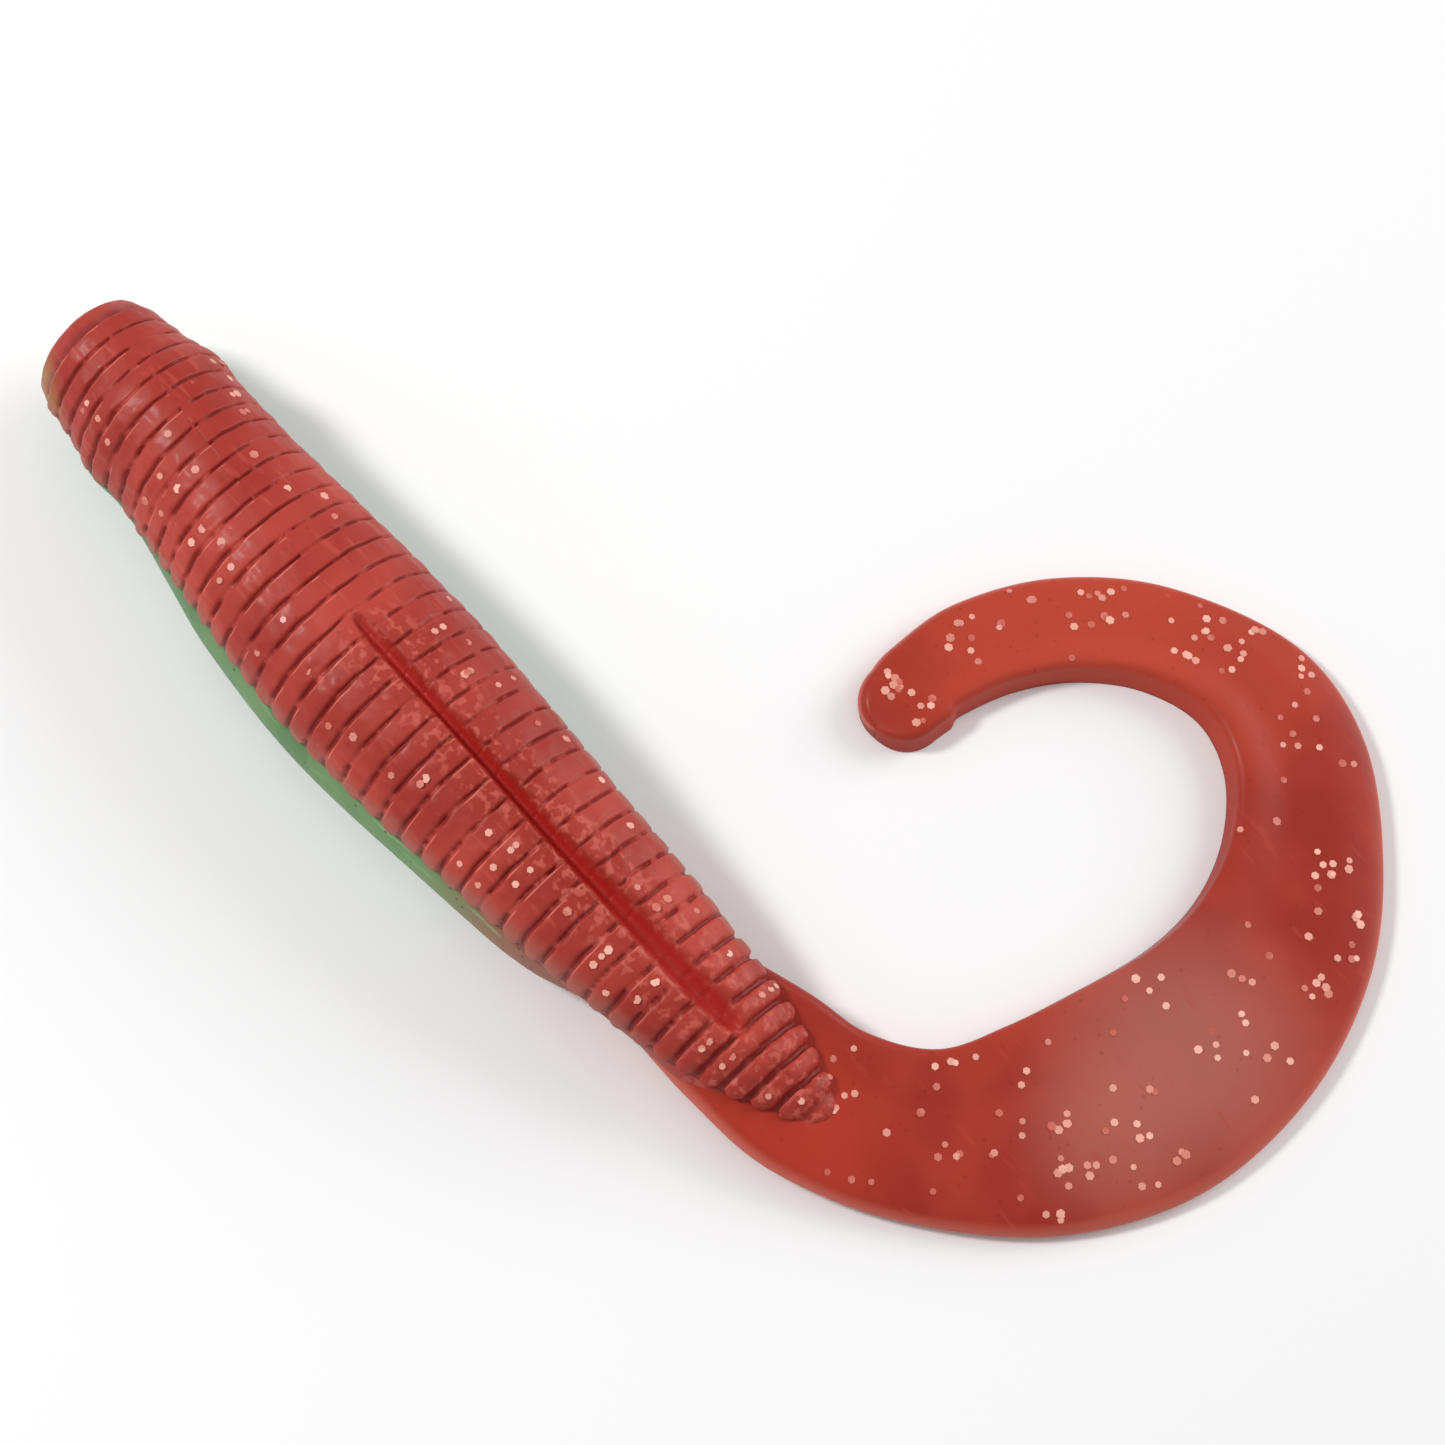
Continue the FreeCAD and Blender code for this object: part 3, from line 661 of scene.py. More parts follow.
@dataclass
class TailRibbon:
    """The flat curled tail, with a thick rounded inner edge and a thin outer edge."""

    rows: tuple[Row, ...] = (
        Row((58.8, 4.3), (58.8, -3.8)), Row((66.5, 6.85), (66.5, -3.9)), Row((71.0, 8.1), (73.5, -2.95)),
        Row((74.8, 11.0), (81.4, 1.1)), Row((76.6, 15.5), (88.9, 8.0)), Row((78.0, 20.5), (93.4, 17.0)),
        Row((79.3, 26.5), (93.9, 27.0)), Row((79.2, 31.5), (91.2, 36.1)), Row((77.5, 36.1), (86.2, 43.1)),
        Row((74.3, 39.8), (79.0, 48.9)), Row((70.3, 41.3), (71.0, 50.4)), Row((66.0, 40.0), (62.0, 46.8)),
        Row((62.5, 37.0), (56.0, 41.0)), Row((60.2, 33.3), (52.8, 34.2)), Row((59.0, 29.5), (52.3, 28.5)),
        Row((58.6, 26.6), (52.6, 26.2)))
    bead: Taper = Taper(((0.0, 4.0), (1.0, 3.2), (2.0, 2.6), (3.0, 2.4), (12.0, 2.4), (15.0, 2.3)))
    web: Taper = Taper(((0.0, 4.0), (1.0, 2.9), (2.0, 2.25), (3.0, 1.95), (12.0, 1.95), (14.0, 2.1),
                        (15.0, 2.2)))
    rim: Taper = Taper(((0.0, 3.9), (1.0, 2.5), (2.0, 1.7), (3.0, 1.3), (12.0, 1.5), (14.0, 2.0),
                        (15.0, 2.2)))
    low: Taper = Taper(((0.0, 1.0), (1.0, 0.85), (2.0, 0.54), (3.0, 0.18), (4.0, 0.0)))
    bead_width: float = 1.5
    bead_round: float = 0.3
    rim_round: float = 0.5
    tip_thinning: float = 0.35
    wall_steps: int = 5
    draft: float = 0.3
    tip_length: float = 3.0
    tip_step: float = 0.4
    tip_places: tuple[float, ...] = (0.08, 0.17, 0.26, 0.36, 0.46, 0.56, 0.66, 0.75, 0.83, 0.9, 0.95,
                                     0.985, 0.999)
    across_steps: int = 26
    round_steps: int = 8
    under_steps: int = 10

    @property
    def last(self) -> int:
        """Number of the last row."""
        return len(self.rows) - 1

    def edge(self, place: float, side: Edge) -> Vector:
        """Point of an edge in plan at a place between rows, on a smooth line through them all.

        Args:
            place: Row number, with parts of a row.
            side: Which edge.

        Returns:
            The point.
        """
        row = min(int(place), self.last - 1)
        t = place - row
        near = [int(clamp(k, 0, self.last)) for k in range(row - 1, row + 3)]
        a, b, c, d = (Vector(getattr(self.rows[k], side.value)) for k in near)
        flat = 0.5 * ((2 * b) + (c - a) * t + (2 * a - 5 * b + 4 * c - d) * t ** 2
                      + (3 * b - a - 3 * c + d) * t ** 3)
        return Vector((flat.x + NOSE_X, flat.y, 0.0))

    def ahead(self, across: Vector, before: int, after: int) -> Vector:
        """Direction along the ribbon, square to a direction across it, from one row to a later one."""
        along = Vector((0, 0, 1)).cross(across)
        onward = self.edge(after, Edge.INNER) - self.edge(before, Edge.INNER)
        return along * math.copysign(1, along.dot(onward))

    def frame_at(self, place: float) -> tuple[Vector, Vector, float]:
        """Inner edge point, direction to the outer edge, and width at a place."""
        last = self.last
        inner, outer = (self.edge(min(place, last), side) for side in Edge)
        across = (outer - inner).normalized()
        inner = inner - across * self.tip_step * ease(place, 14.2, 14.5)
        width = (outer - inner).length
        if place > last:
            ahead = self.ahead(across, last - 1, last)
            turn = math.pi / 2 * min(place - last, 0.999)
            middle = inner + across * width / 2 + ahead * self.tip_length * math.sin(turn)
            width *= math.cos(turn) ** 0.8
            inner = middle - across * width / 2
        return inner, across, width

    def profile(self, place: float) -> tuple[list[Point], list[float]]:
        """Outline of the section above the rest plane: (out from the inner edge, up), and edge shares.

        Args:
            place: Row number, with parts of a row.

        Returns:
            The outline from the foot of the inner wall over the top to the foot of the outer edge, and
            round under the ribbon, with 0 at the inner edge and 1 at the outer one.
        """
        _, _, width = self.frame_at(place)
        thin = 1 - self.tip_thinning * clamp(place - self.last) ** 2
        bead, web, rim = (size.at(place) * thin for size in (self.bead, self.web, self.rim))
        low = self.low.at(place)
        turn_in = min(self.bead_round * bead, 0.3 * width)
        draft = min(self.draft, 0.1 * width)
        turn_out = min(self.rim_round * rim, 0.3 * width)
        crest = min(self.bead_width, 0.4 * width)
        top = Taper(((0.0, bead), (max(turn_in + draft, 0.6 * crest), bead),
                     (max(1.6 * crest, 0.4 * width), web), (0.66 * width, web),
                     (0.88 * width, mingle(web, rim, 0.45)), (width, rim)))
        points: list[Point] = []
        for k in range(self.wall_steps):
            t = k / self.wall_steps
            points.append((draft * t, low + t * (bead - turn_in)))
        for k in range(self.round_steps + 1):
            turn = math.pi / 2 * k / self.round_steps
            out = draft + turn_in * (1 - math.cos(turn))
            points.append((out, low + bead - turn_in * (1 - math.sin(turn))))
        for k in range(1, self.across_steps):
            out = mingle(draft + turn_in, width - turn_out, k / self.across_steps)
            points.append((out, low + top.at(out)))
        for k in range(self.round_steps + 1):
            turn = math.pi / 2 * k / self.round_steps
            out = width - turn_out * (1 - math.sin(turn))
            points.append((out, low + top.at(out) - turn_out * (1 - math.cos(turn))))
        points.append((width - 0.05, low + 0.35 * rim))
        points.append((width - 0.25 * turn_out, low))
        shares = [clamp(out / max(width, 1e-6)) for out, _ in points]
        start, end = points[0][0], points[-1][0]
        for k in range(1, self.under_steps):
            out = mingle(end, start, k / self.under_steps)
            points.append((out, low))
            shares.append(out / max(width, 1e-6))
        return points, shares

    def ring(self, place: float) -> Ring:
        """One closed ring of the ribbon at a place between rows."""
        inner, across, _ = self.frame_at(place)
        outline, shares = self.profile(place)
        points = [inner + across * out + Vector((0, 0, up)) for out, up in outline]
        # The shares across the ribbon place the painted highlight on its outer edge.
        return Ring(points, {Mark.EDGE: shares})

    def rings(self, start: float, end: float) -> list[Ring]:
        """Rings of the ribbon between two places."""
        per_row = 16
        stop = min(end, self.last)
        count = round((stop - start) * per_row)
        rings = [self.ring(mingle(start, stop, k / count)) for k in range(count + 1)]
        if end > self.last:
            rings += [self.ring(self.last + share) for share in self.tip_places]
        return rings

    def spot(self, place: float, share: float) -> tuple[Vector, Vector]:
        """Point and normal on top of the ribbon.

        Args:
            place: Row number, with parts of a row.
            share: How far from the inner edge to the outer one, from 0 to 1.

        Returns:
            The point and its normal.
        """
        def top(at: float, part: float) -> Vector:
            """Point of the upper outline nearest to a part of the width."""
            inner, across, width = self.frame_at(at)
            outline, _ = self.profile(at)
            upper = outline[self.wall_steps - 1:len(outline) - self.under_steps - 1]
            out, up = min(upper, key=lambda p: abs(p[0] - part * width))
            before = [p for p in upper if p[0] <= part * width] or [(out, up)]
            after = [p for p in upper if p[0] > part * width] or [(out, up)]
            (o0, u0), (o1, u1) = before[-1], after[0]
            mix = (part * width - o0) / (o1 - o0) if o1 > o0 else 0.0
            return inner + across * mingle(o0, o1, mix) + Vector((0, 0, mingle(u0, u1, mix)))

        here = top(place, share)
        normal = (top(place + 0.02, share) - here).cross(top(place, share + 0.03) - here)
        return here, normal.normalized() * math.copysign(1, normal.z)

    def bend(self, row: int, start: float, end: float, before: str, after: str) -> Bend:
        """The stretch of a skin's bend over the joint on a row.

        Args:
            row: Row that the joint lies on.
            start: Place at which the skin starts.
            end: Place at which the skin ends.
            before: Body in front of the joint.
            after: Body behind it.

        Returns:
            The bend, which is over before the skin ends at either edge.
        """
        inner, across, width = self.frame_at(row)
        middle = inner + across * width / 2
        ahead = self.ahead(across, row - 1, min(row + 1, self.last))
        reach = min(abs((self.edge(min(place, self.last), side) - middle).dot(ahead))
                    for place in (start, end) for side in Edge)
        reach *= 0.97
        return Bend(before, after, middle - ahead * reach, middle + ahead * reach)


# ---- glitter ----
@dataclass(frozen=True)
class Cluster:
    """Flakes that lie together on the tail: where, how far apart, how many and how bright."""

    place: float
    share: float
    along: float
    across: float
    count: int
    # how much painted glint these flakes show
    bright: float = 0.45


@dataclass
class Glitter:
    """Hexagonal flakes that lie in the surface, just proud of it, each with a painted brightness: bright
    ones are painted glints, and dim ones stand for flakes sunk in the plastic.
    """

    across: float = 0.64
    thick: float = 0.09
    proud: float = 0.035
    tilt: float = 0.12
    sizes: tuple[float, float] = (0.72, 1.08)
    draft: float = 0.96
    seed: int = 7
    spread: float = 0.3
    margins: tuple[float, float] = (0.06, 0.94)
    dim_per_link: int = 5
    dim_margins: tuple[float, float] = (0.08, 0.92)
    dim_places: tuple[float, float] = (1.8, 15.4)
    flanks: tuple[float, float] = (0.3, 0.84)
    dimming: float = 1.6
    clusters: tuple[Cluster, ...] = (
        Cluster(1.9, 0.2, 0.1, 0.05, 1, 0.9), Cluster(2.3, 0.5, 0.4, 0.1, 5),
        Cluster(3.2, 0.15, 0.3, 0.06, 5, 0.7), Cluster(3.4, 0.6, 0.3, 0.06, 6, 0.2),
        Cluster(4.1, 0.35, 0.35, 0.2, 9, 0.3), Cluster(4.0, 0.93, 0.2, 0.03, 3),
        Cluster(4.3, 0.75, 0.25, 0.08, 8), Cluster(4.8, 0.85, 0.25, 0.06, 4),
        Cluster(4.8, 0.58, 0.3, 0.18, 10, 0.8), Cluster(5.7, 0.2, 0.2, 0.1, 4, 0.95),
        Cluster(5.9, 0.68, 0.3, 0.18, 10, 0.85), Cluster(6.3, 0.35, 0.15, 0.2, 3),
        Cluster(6.7, 0.75, 0.1, 0.1, 3), Cluster(7.1, 0.75, 0.4, 0.15, 12, 0.5),
        Cluster(7.9, 0.65, 0.25, 0.12, 8, 0.75), Cluster(8.1, 0.08, 0.05, 0.02, 1, 1.0),
        Cluster(9.3, 0.6, 0.6, 0.33, 15), Cluster(10.6, 0.6, 0.45, 0.3, 17, 0.7),
        Cluster(11.7, 0.62, 0.35, 0.28, 8), Cluster(12.9, 0.6, 0.7, 0.33, 14),
        Cluster(14.8, 0.5, 0.5, 0.38, 11, 0.6))

    def scatter(self, name: str, spots: Iterable[tuple[Vector, Vector, float]]) -> bpy.types.Object:
        """One piece with a flake on every spot.

        Args:
            name: Name of the piece.
            spots: Point, normal and brightness of each flake.

        Returns:
            The piece.
        """
        chance = random.Random(self.seed + len(name))
        bm = bmesh.new()
        # each flake carries how much painted glint it shows
        shine = bm.verts.layers.float.new(Mark.SHINE.value)
        for point, normal, bright in spots:
            lean = Vector((chance.uniform(-1, 1), chance.uniform(-1, 1), 0)) * self.tilt
            turn = (normal + lean).to_track_quat("Z", "Y").to_matrix().to_4x4()
            turn = turn @ Matrix.Rotation(chance.uniform(0, math.tau), 4, "Z")
            radius = 0.5 * self.across * chance.uniform(*self.sizes)
            seat = Matrix.Translation(point + normal * (self.proud - self.thick / 2)) @ turn
            made = bmesh.ops.create_cone(bm, cap_ends=True, segments=6, radius1=radius,
                                         radius2=radius * self.draft, depth=self.thick, matrix=seat)
            for vert in made["verts"]:
                vert[shine] = bright
        return piece_from(bm, name)


# ---- finishes ----
class Tree:
    """A node tree that is being wired, with short ways to add its nodes."""

    def __init__(self, tree: bpy.types.NodeTree) -> None:
        """Takes a tree and empties it."""
        self.tree = tree
        tree.nodes.clear()

    def add(self, kind: str, **settings: object) -> bpy.types.Node:
        """A new node.

        Args:
            kind: Type of the node, without its ShaderNode.
            settings: Properties of the node, or inputs where the name is one.

        Returns:
            The node.
        """
        node = self.tree.nodes.new("ShaderNode" + kind if not kind.startswith("Node") else kind)
        for key, value in settings.items():
            if hasattr(node, key):
                setattr(node, key, value)
            else:
                node.inputs[key.replace("_", " ")].default_value = value
        return node

    def wire(self, output: bpy.types.NodeSocket, into: bpy.types.NodeSocket) -> None:
        """Joins two sockets."""
        self.tree.links.new(output, into)

    def maths(self, operation: str, a: object, b: object = 0.0) -> bpy.types.NodeSocket:
        """Result of an operation on two numbers or sockets."""
        node = self.add("Math", operation=operation)
        for socket, value in zip(node.inputs, (a, b)):
            if isinstance(value, bpy.types.NodeSocket):
                self.wire(value, socket)
            else:
                socket.default_value = value
        return node.outputs[0]

    def ramp(self, value: bpy.types.NodeSocket, low: float, high: float,
             top: float = 1.0) -> bpy.types.NodeSocket:
        """A value mapped smoothly from low to high on to 0 to top."""
        node = self.add("MapRange", interpolation_type="SMOOTHSTEP", From_Min=low, From_Max=high,
                        To_Max=top)
        self.wire(value, node.inputs["Value"])
        return node.outputs["Result"]

    def blend(self, factor: bpy.types.NodeSocket, under: object, over: Colour) -> bpy.types.NodeSocket:
        """A colour laid over another by a factor."""
        node = self.add("Mix", data_type="RGBA")
        self.wire(factor, node.inputs["Factor"])
        if isinstance(under, bpy.types.NodeSocket):
            self.wire(under, node.inputs[6])
        else:
            node.inputs[6].default_value = (*under, 1)
        node.inputs[7].default_value = (*over, 1)
        return node.outputs[2]

    def mark(self, mark: Mark) -> bpy.types.NodeSocket:
        """The number that a skin carries for one of its marks."""
        return self.add("Attribute", attribute_name=mark.value).outputs["Fac"]

    def place(self) -> bpy.types.NodeSocket:
        """The place of a point on its piece."""
        return self.add("TexCoord").outputs["Object"]

    def away_from(self, point: tuple[float, float, float]) -> bpy.types.NodeSocket:
        """Distance in metres from a point given in millimetres."""
        away = self.add("VectorMath", operation="DISTANCE")
        self.wire(self.place(), away.inputs[0])
        away.inputs[1].default_value = tuple(value * MM for value in point)
        return away.outputs["Value"]

    def cloud(self, place: bpy.types.NodeSocket, scale: float) -> bpy.types.NodeSocket:
        """Cloudy noise at a scale."""
        node = self.add("TexNoise", Scale=scale, Detail=2.0)
        self.wire(place, node.inputs["Vector"])
        return node.outputs["Fac"]

    def dots(self, place: bpy.types.NodeSocket, scale: float, edge: tuple[float, float],
             channel: int) -> bpy.types.NodeSocket:
        """Scattered round dots.

        Args:
            place: Place of the point that is shaded.
            scale: Dots per metre.
            edge: Distances from a dot's middle at which it is gone and at which it is full.
            channel: Number of the random channel that picks the dots that show.

        Returns:
            1 on a dot and 0 off it.
        """
        cells = self.add("TexVoronoi", feature="F1", Scale=scale)
        self.wire(place, cells.inputs["Vector"])
        chosen = self.add("SeparateColor")
        self.wire(cells.outputs["Color"], chosen.inputs[0])
        dot = self.ramp(cells.outputs["Distance"], *edge)
        return self.maths("MULTIPLY", dot, self.ramp(chosen.outputs[channel], 0.72, 0.8))

    def bump(self, height: bpy.types.NodeSocket, strength: float, depth: float) -> bpy.types.NodeSocket:
        """Normals of a fine relief, whose depth is given in millimetres."""
        node = self.add("Bump", Strength=strength, Distance=depth * MM)
        self.wire(height, node.inputs["Height"])
        return node.outputs["Normal"]

    def either(self, factor: bpy.types.NodeSocket, first: bpy.types.Node,
               second: bpy.types.Node) -> bpy.types.NodeSocket:
        """A shader that goes over from a first to a second by a factor."""
        node = self.add("MixShader")
        for socket, output in zip(node.inputs, (factor, first.outputs[0], second.outputs[0])):
            self.wire(output, socket)
        return node.outputs[0]

    def surface(self, shader: bpy.types.NodeSocket, kind: str = "OutputMaterial") -> None:
        """Puts a shader out as the surface."""
        self.wire(shader, self.add(kind).inputs["Surface"])


def new_material(name: str) -> tuple[bpy.types.Material, Tree]:
    """An empty material of a name, and its tree."""
    material = bpy.data.materials.new(name)
    material.use_nodes = True
    return material, Tree(material.node_tree)


def cast_group() -> bpy.types.ShaderNodeTree:
    """The look that all the cast plastic shares, built once.

    Returns:
        A group that puts out a soft cloudiness, patches, small dim flakes under the surface, and the
        height of the fine unevenness that the mould leaves.
    """
    group = bpy.data.node_groups.new("cast_plastic", "ShaderNodeTree")
    size = group.interface.new_socket(name="Size", in_out="INPUT", socket_type="NodeSocketFloat")
    size.default_value = 1.0
    for name in ("Cloud", "Patch", "Sunk", "Height"):
        group.interface.new_socket(name=name, in_out="OUTPUT", socket_type="NodeSocketFloat")
    tree = Tree(group)
    given, out = tree.add("NodeGroupInput"), tree.add("NodeGroupOutput")
    sized = tree.add("VectorMath", operation="SCALE")
    tree.wire(tree.place(), sized.inputs[0])
    tree.wire(given.outputs["Size"], sized.inputs["Scale"])

    place = sized.outputs[0]
    tree.wire(tree.ramp(tree.cloud(place, 140.0), 0.3, 0.7), out.inputs["Cloud"])
    tree.wire(tree.ramp(tree.cloud(place, 1500.0), 0.5, 0.64), out.inputs["Patch"])
    tree.wire(tree.dots(place, 420.0, (0.13, 0.1), 0), out.inputs["Sunk"])
    ripple = tree.maths("MULTIPLY", tree.cloud(place, 900.0), 0.6)
    pores = tree.maths("MULTIPLY", tree.cloud(place, 5200.0), 0.4)
    tree.wire(tree.maths("ADD", ripple, pores), out.inputs["Height"])
    return group


@dataclass(frozen=True)
class Tint:
    """A colour that shows where a mark is high, broken up by patches if it is crumbly."""

    mark: Mark
    colour: Colour
    low: float = 0.0
    high: float = 1.0
    strength: float = 1.0
    crumbly: bool = False


@dataclass(frozen=True)
class Haze:
    """A soft round zone of another colour, where the plastic is thin and lets light through."""

    centre: tuple[float, float, float]
    radius: float
    colour: Colour
    strength: float
    core: float = 0.15


@dataclass(frozen=True)
class Plastisol:
    """A soft cast plastic: cloudy colour, tints by mark, hazes, dim flakes and a soft gloss."""

    name: str
    deep: Colour
    warm: Colour
    sunk: Colour
    sunk_strength: float
    tints: tuple[Tint, ...] = ()
    hazes: tuple[Haze, ...] = ()
    gloss: float = 0.36
    specular: float = 0.3
    coat: float = 0.06
    relief: float = 0.03
    pepper: Colour | None = None
    streak: Colour | None = None
    specks: float = 0.25

    def build(self, group: bpy.types.ShaderNodeTree) -> bpy.types.Material:
        """Makes the material.

        Args:
            group: The group that all cast plastic shares.

        Returns:
            The material.
        """
        material, tree = new_material(self.name)
        cast = tree.add("Group")
        cast.node_tree = group
        colour: object = tree.blend(cast.outputs["Cloud"], self.deep, self.warm)
        for haze in self.hazes:
            colour = tree.blend(self.zone(tree, haze), colour, haze.colour)
        if self.pepper:
            colour = self.peppered(tree, colour)
        sunk = tree.maths("MULTIPLY", cast.outputs["Sunk"], self.sunk_strength)
        colour = tree.blend(sunk, colour, self.sunk)
        for tint in self.tints:
            factor = tree.ramp(tree.mark(tint.mark), tint.low, tint.high, tint.strength)
            if tint.crumbly:
                factor = tree.maths("MULTIPLY", factor, cast.outputs["Patch"])
            colour = tree.blend(factor, colour, tint.colour)
        shader = tree.add("BsdfPrincipled", IOR=1.46, Coat_Weight=self.coat, Coat_Roughness=0.16,
                          Specular_IOR_Level=self.specular)
        dull = tree.add("MapRange", To_Min=self.gloss, To_Max=self.gloss + 0.1)
        tree.wire(cast.outputs["Cloud"], dull.inputs["Value"])
        tree.wire(colour, shader.inputs["Base Color"])
        tree.wire(dull.outputs["Result"], shader.inputs["Roughness"])
        tree.wire(tree.bump(cast.outputs["Height"], 0.55, self.relief), shader.inputs["Normal"])
        tree.surface(shader.outputs[0])
        return material

    def zone(self, tree: Tree, haze: Haze) -> bpy.types.NodeSocket:
        """Factor of a haze: high in its core, and gone at its radius."""
        radius = haze.radius * MM
        return tree.ramp(tree.away_from(haze.centre), radius, haze.core * radius, haze.strength)

    def peppered(self, tree: Tree, colour: bpy.types.NodeSocket) -> bpy.types.NodeSocket:
        """The colour with fine dark specks and faint pale streaks along the body in it."""
        place = tree.place()
        dark = tree.dots(place, 1500.0, (0.26, 0.16), 1)
        long_way = tree.add("Mapping", Scale=(250.0, 1600.0, 1600.0))
        tree.wire(place, long_way.inputs["Vector"])
        streaks = tree.cloud(long_way.outputs[0], 1.0)
        colour = tree.blend(tree.ramp(streaks, 0.6, 0.75, 0.4), colour, self.streak)
        return tree.blend(tree.maths("MULTIPLY", dark, self.specks), colour, self.pepper)


@dataclass(frozen=True)
class FlakeFinish:
    """Pale pink glitter: dim for a flake that lies deep, and a painted glint where a flake is bare and
    catches the light.
    """

    # dim is a flake deep in the plastic; bright is a painted glint
    dim: Colour = srgb(202, 100, 84)
    bright: Colour = srgb(250, 188, 168)

    def build(self, group: bpy.types.ShaderNodeTree) -> bpy.types.Material:
        """Makes the material from the shared cast plastic group."""
        material, tree = new_material("glitter_flake")
        cast = tree.add("Group")
        cast.node_tree = group
        # the shine mark mixes each flake from its dim colour towards the painted glint
        colour = tree.blend(tree.mark(Mark.SHINE), self.dim, self.bright)
        colour = tree.blend(tree.maths("MULTIPLY", cast.outputs["Patch"], 0.35), colour, srgb(226, 150, 138))
        shader = tree.add("BsdfPrincipled", Roughness=0.3, IOR=1.5)
        tree.wire(tree.bump(cast.outputs["Height"], 0.3, 0.01), shader.inputs["Normal"])
        tree.wire(colour, shader.inputs["Base Color"])
        tree.surface(shader.outputs[0])
        return material


RED_BACK = Plastisol(
    "red_back", deep=srgb(158, 46, 36), warm=srgb(184, 66, 54), sunk=srgb(206, 104, 92), sunk_strength=0.4,
    tints=(Tint(Mark.CRUMB, srgb(206, 100, 86), 0.1, 0.9, 0.6, True),
           # painted highlight on the rib crests
           Tint(Mark.CREST, srgb(232, 132, 114), 0.1, 1.0, 0.75),
           Tint(Mark.SKIRT, srgb(160, 98, 86), 0.25, 1.0, 0.75),
           # painted shade in the grooves
           Tint(Mark.GROOVE, srgb(116, 20, 18), 0.3, 1.0, 0.7),
           # painted glow of light through the translucent plastic in the hook slot
           Tint(Mark.SLOT, srgb(174, 28, 23), 0.1, 1.0, 0.92)),
    hazes=(Haze((-33.5, -4.5, 5.5), 4.2, srgb(150, 112, 52), 0.9, 0.3),),
    gloss=0.48, specular=0.3, coat=0.04, relief=0.04,
    pepper=srgb(116, 24, 20), streak=srgb(196, 84, 70))
RED_TAIL = Plastisol(
    "red_tail", deep=srgb(152, 42, 30), warm=srgb(172, 56, 40), sunk=srgb(202, 92, 76), sunk_strength=0.45,
    # painted highlight: a pale rim along the outer edge of the tail
    tints=(Tint(Mark.EDGE, srgb(204, 102, 86), 0.94, 1.0, 0.75),),
    hazes=(Haze((25.0, 42.0, 1.5), 22.0, srgb(186, 68, 48), 0.85),
           Haze((38.0, -2.0, 1.5), 12.0, srgb(184, 56, 38), 0.7),
           Haze((52.0, 23.0, 1.5), 12.5, srgb(172, 98, 88), 0.85),
           Haze((52.5, 15.0, 1.5), 8.0, srgb(176, 100, 88), 0.6)),
    gloss=0.42, specular=0.22, coat=0.04, relief=0.02,
    pepper=srgb(120, 26, 20), streak=srgb(178, 66, 50))
GREEN_BELLY = Plastisol(
    "green_belly", deep=srgb(84, 122, 78), warm=srgb(112, 146, 98), sunk=srgb(140, 170, 130),
    sunk_strength=0.3,
    hazes=(Haze((26.0, 0.0, 4.0), 19.0, srgb(150, 92, 76), 1.0, 0.45),
           Haze((27.5, 0.3, 3.0), 10.0, srgb(176, 62, 46), 1.0, 0.25),
           Haze((-34.0, 0.0, 5.0), 9.0, srgb(140, 116, 62), 0.9)),
    gloss=0.46, relief=0.05, pepper=srgb(38, 74, 46), streak=srgb(150, 186, 140), specks=0.8)


# ---- the studio ----
@dataclass
class Studio:
    """Camera, pale floor and soft lights."""

    eye: Vector = field(default_factory=lambda: Vector((58.0, -49.9, 202.4)))
    aim: Vector = field(default_factory=lambda: Vector((15.4, 14.7, 5.0)))
    roll: float = 14.33
    lens: float = 78.91
    sky: float = 0.46
    middle: tuple[float, float, float] = (15, 15, 0)
    pale_from: float = 70.0
    white_from: float = 200.0
    floor_size: float = 2500.0
    floor_gap: float = 0.03

    def camera(self) -> None:
        """Sets up the camera above the worm."""
        data = bpy.data.cameras.new("camera")
        data.lens = self.lens
        data.sensor_width = 36.0
        data.clip_start = 0.01
        camera = placed("camera", data)
        roll = Matrix.Rotation(math.radians(self.roll), 4, "Z")
        camera.matrix_world = facing(self.eye, self.aim) @ roll
        bpy.context.scene.camera = camera

    def lamp(self, name: str, place: Vector, size: float, power: float) -> None:
        """A soft square lamp that faces the worm.

        Args:
            name: Name of the lamp.
            place: Where it stands, in millimetres.
            size: Its side, in millimetres.
            power: Its power in watts.
        """
        data = bpy.data.lights.new(name, "AREA")
        data.size = size * MM
        data.energy = power
        placed(name, data).matrix_world = facing(place, Vector((13, 15, 5)))

    def lights(self) -> None:
        """A broad lamp beyond the tail's side, a small one by the nose, and an even sky."""
        self.lamp("broad", Vector((190, 520, 260)), 380, 2.0)
        self.lamp("glint", Vector((-240, -190, 330)), 80, 1.2)
        world = bpy.data.worlds.new("sky")
        bpy.context.scene.world = world
        world.use_nodes = True
        tree = Tree(world.node_tree)
        even, seen = (tree.add("Background", Color=(1, 1, 1, 1), Strength=strength)
                      for strength in (self.sky, 1.0))
        ray = tree.add("LightPath").outputs["Is Camera Ray"]
        tree.surface(tree.either(ray, even, seen), "OutputWorld")

    def floor(self) -> None:
        """A plain pale floor just under the worm, which goes over into the white background far off."""
        bm = bmesh.new()
        bmesh.ops.create_grid(bm, x_segments=2, y_segments=2, size=self.floor_size)
        bmesh.ops.translate(bm, vec=(0, 0, -self.floor_gap), verts=bm.verts)
        floor = piece_from(bm, "floor")
        material, tree = new_material("floor")
        shader = tree.add("BsdfDiffuse", Color=(0.92, 0.92, 0.92, 1))
        white = tree.add("Emission", Strength=1.0)
        far = tree.maths("MULTIPLY", tree.ramp(tree.away_from(self.middle), self.pale_from * MM,
                                               self.white_from * MM),
                         tree.add("LightPath").outputs["Is Camera Ray"])
        tree.surface(tree.either(far, shader, white))
        floor.data.materials.append(material)


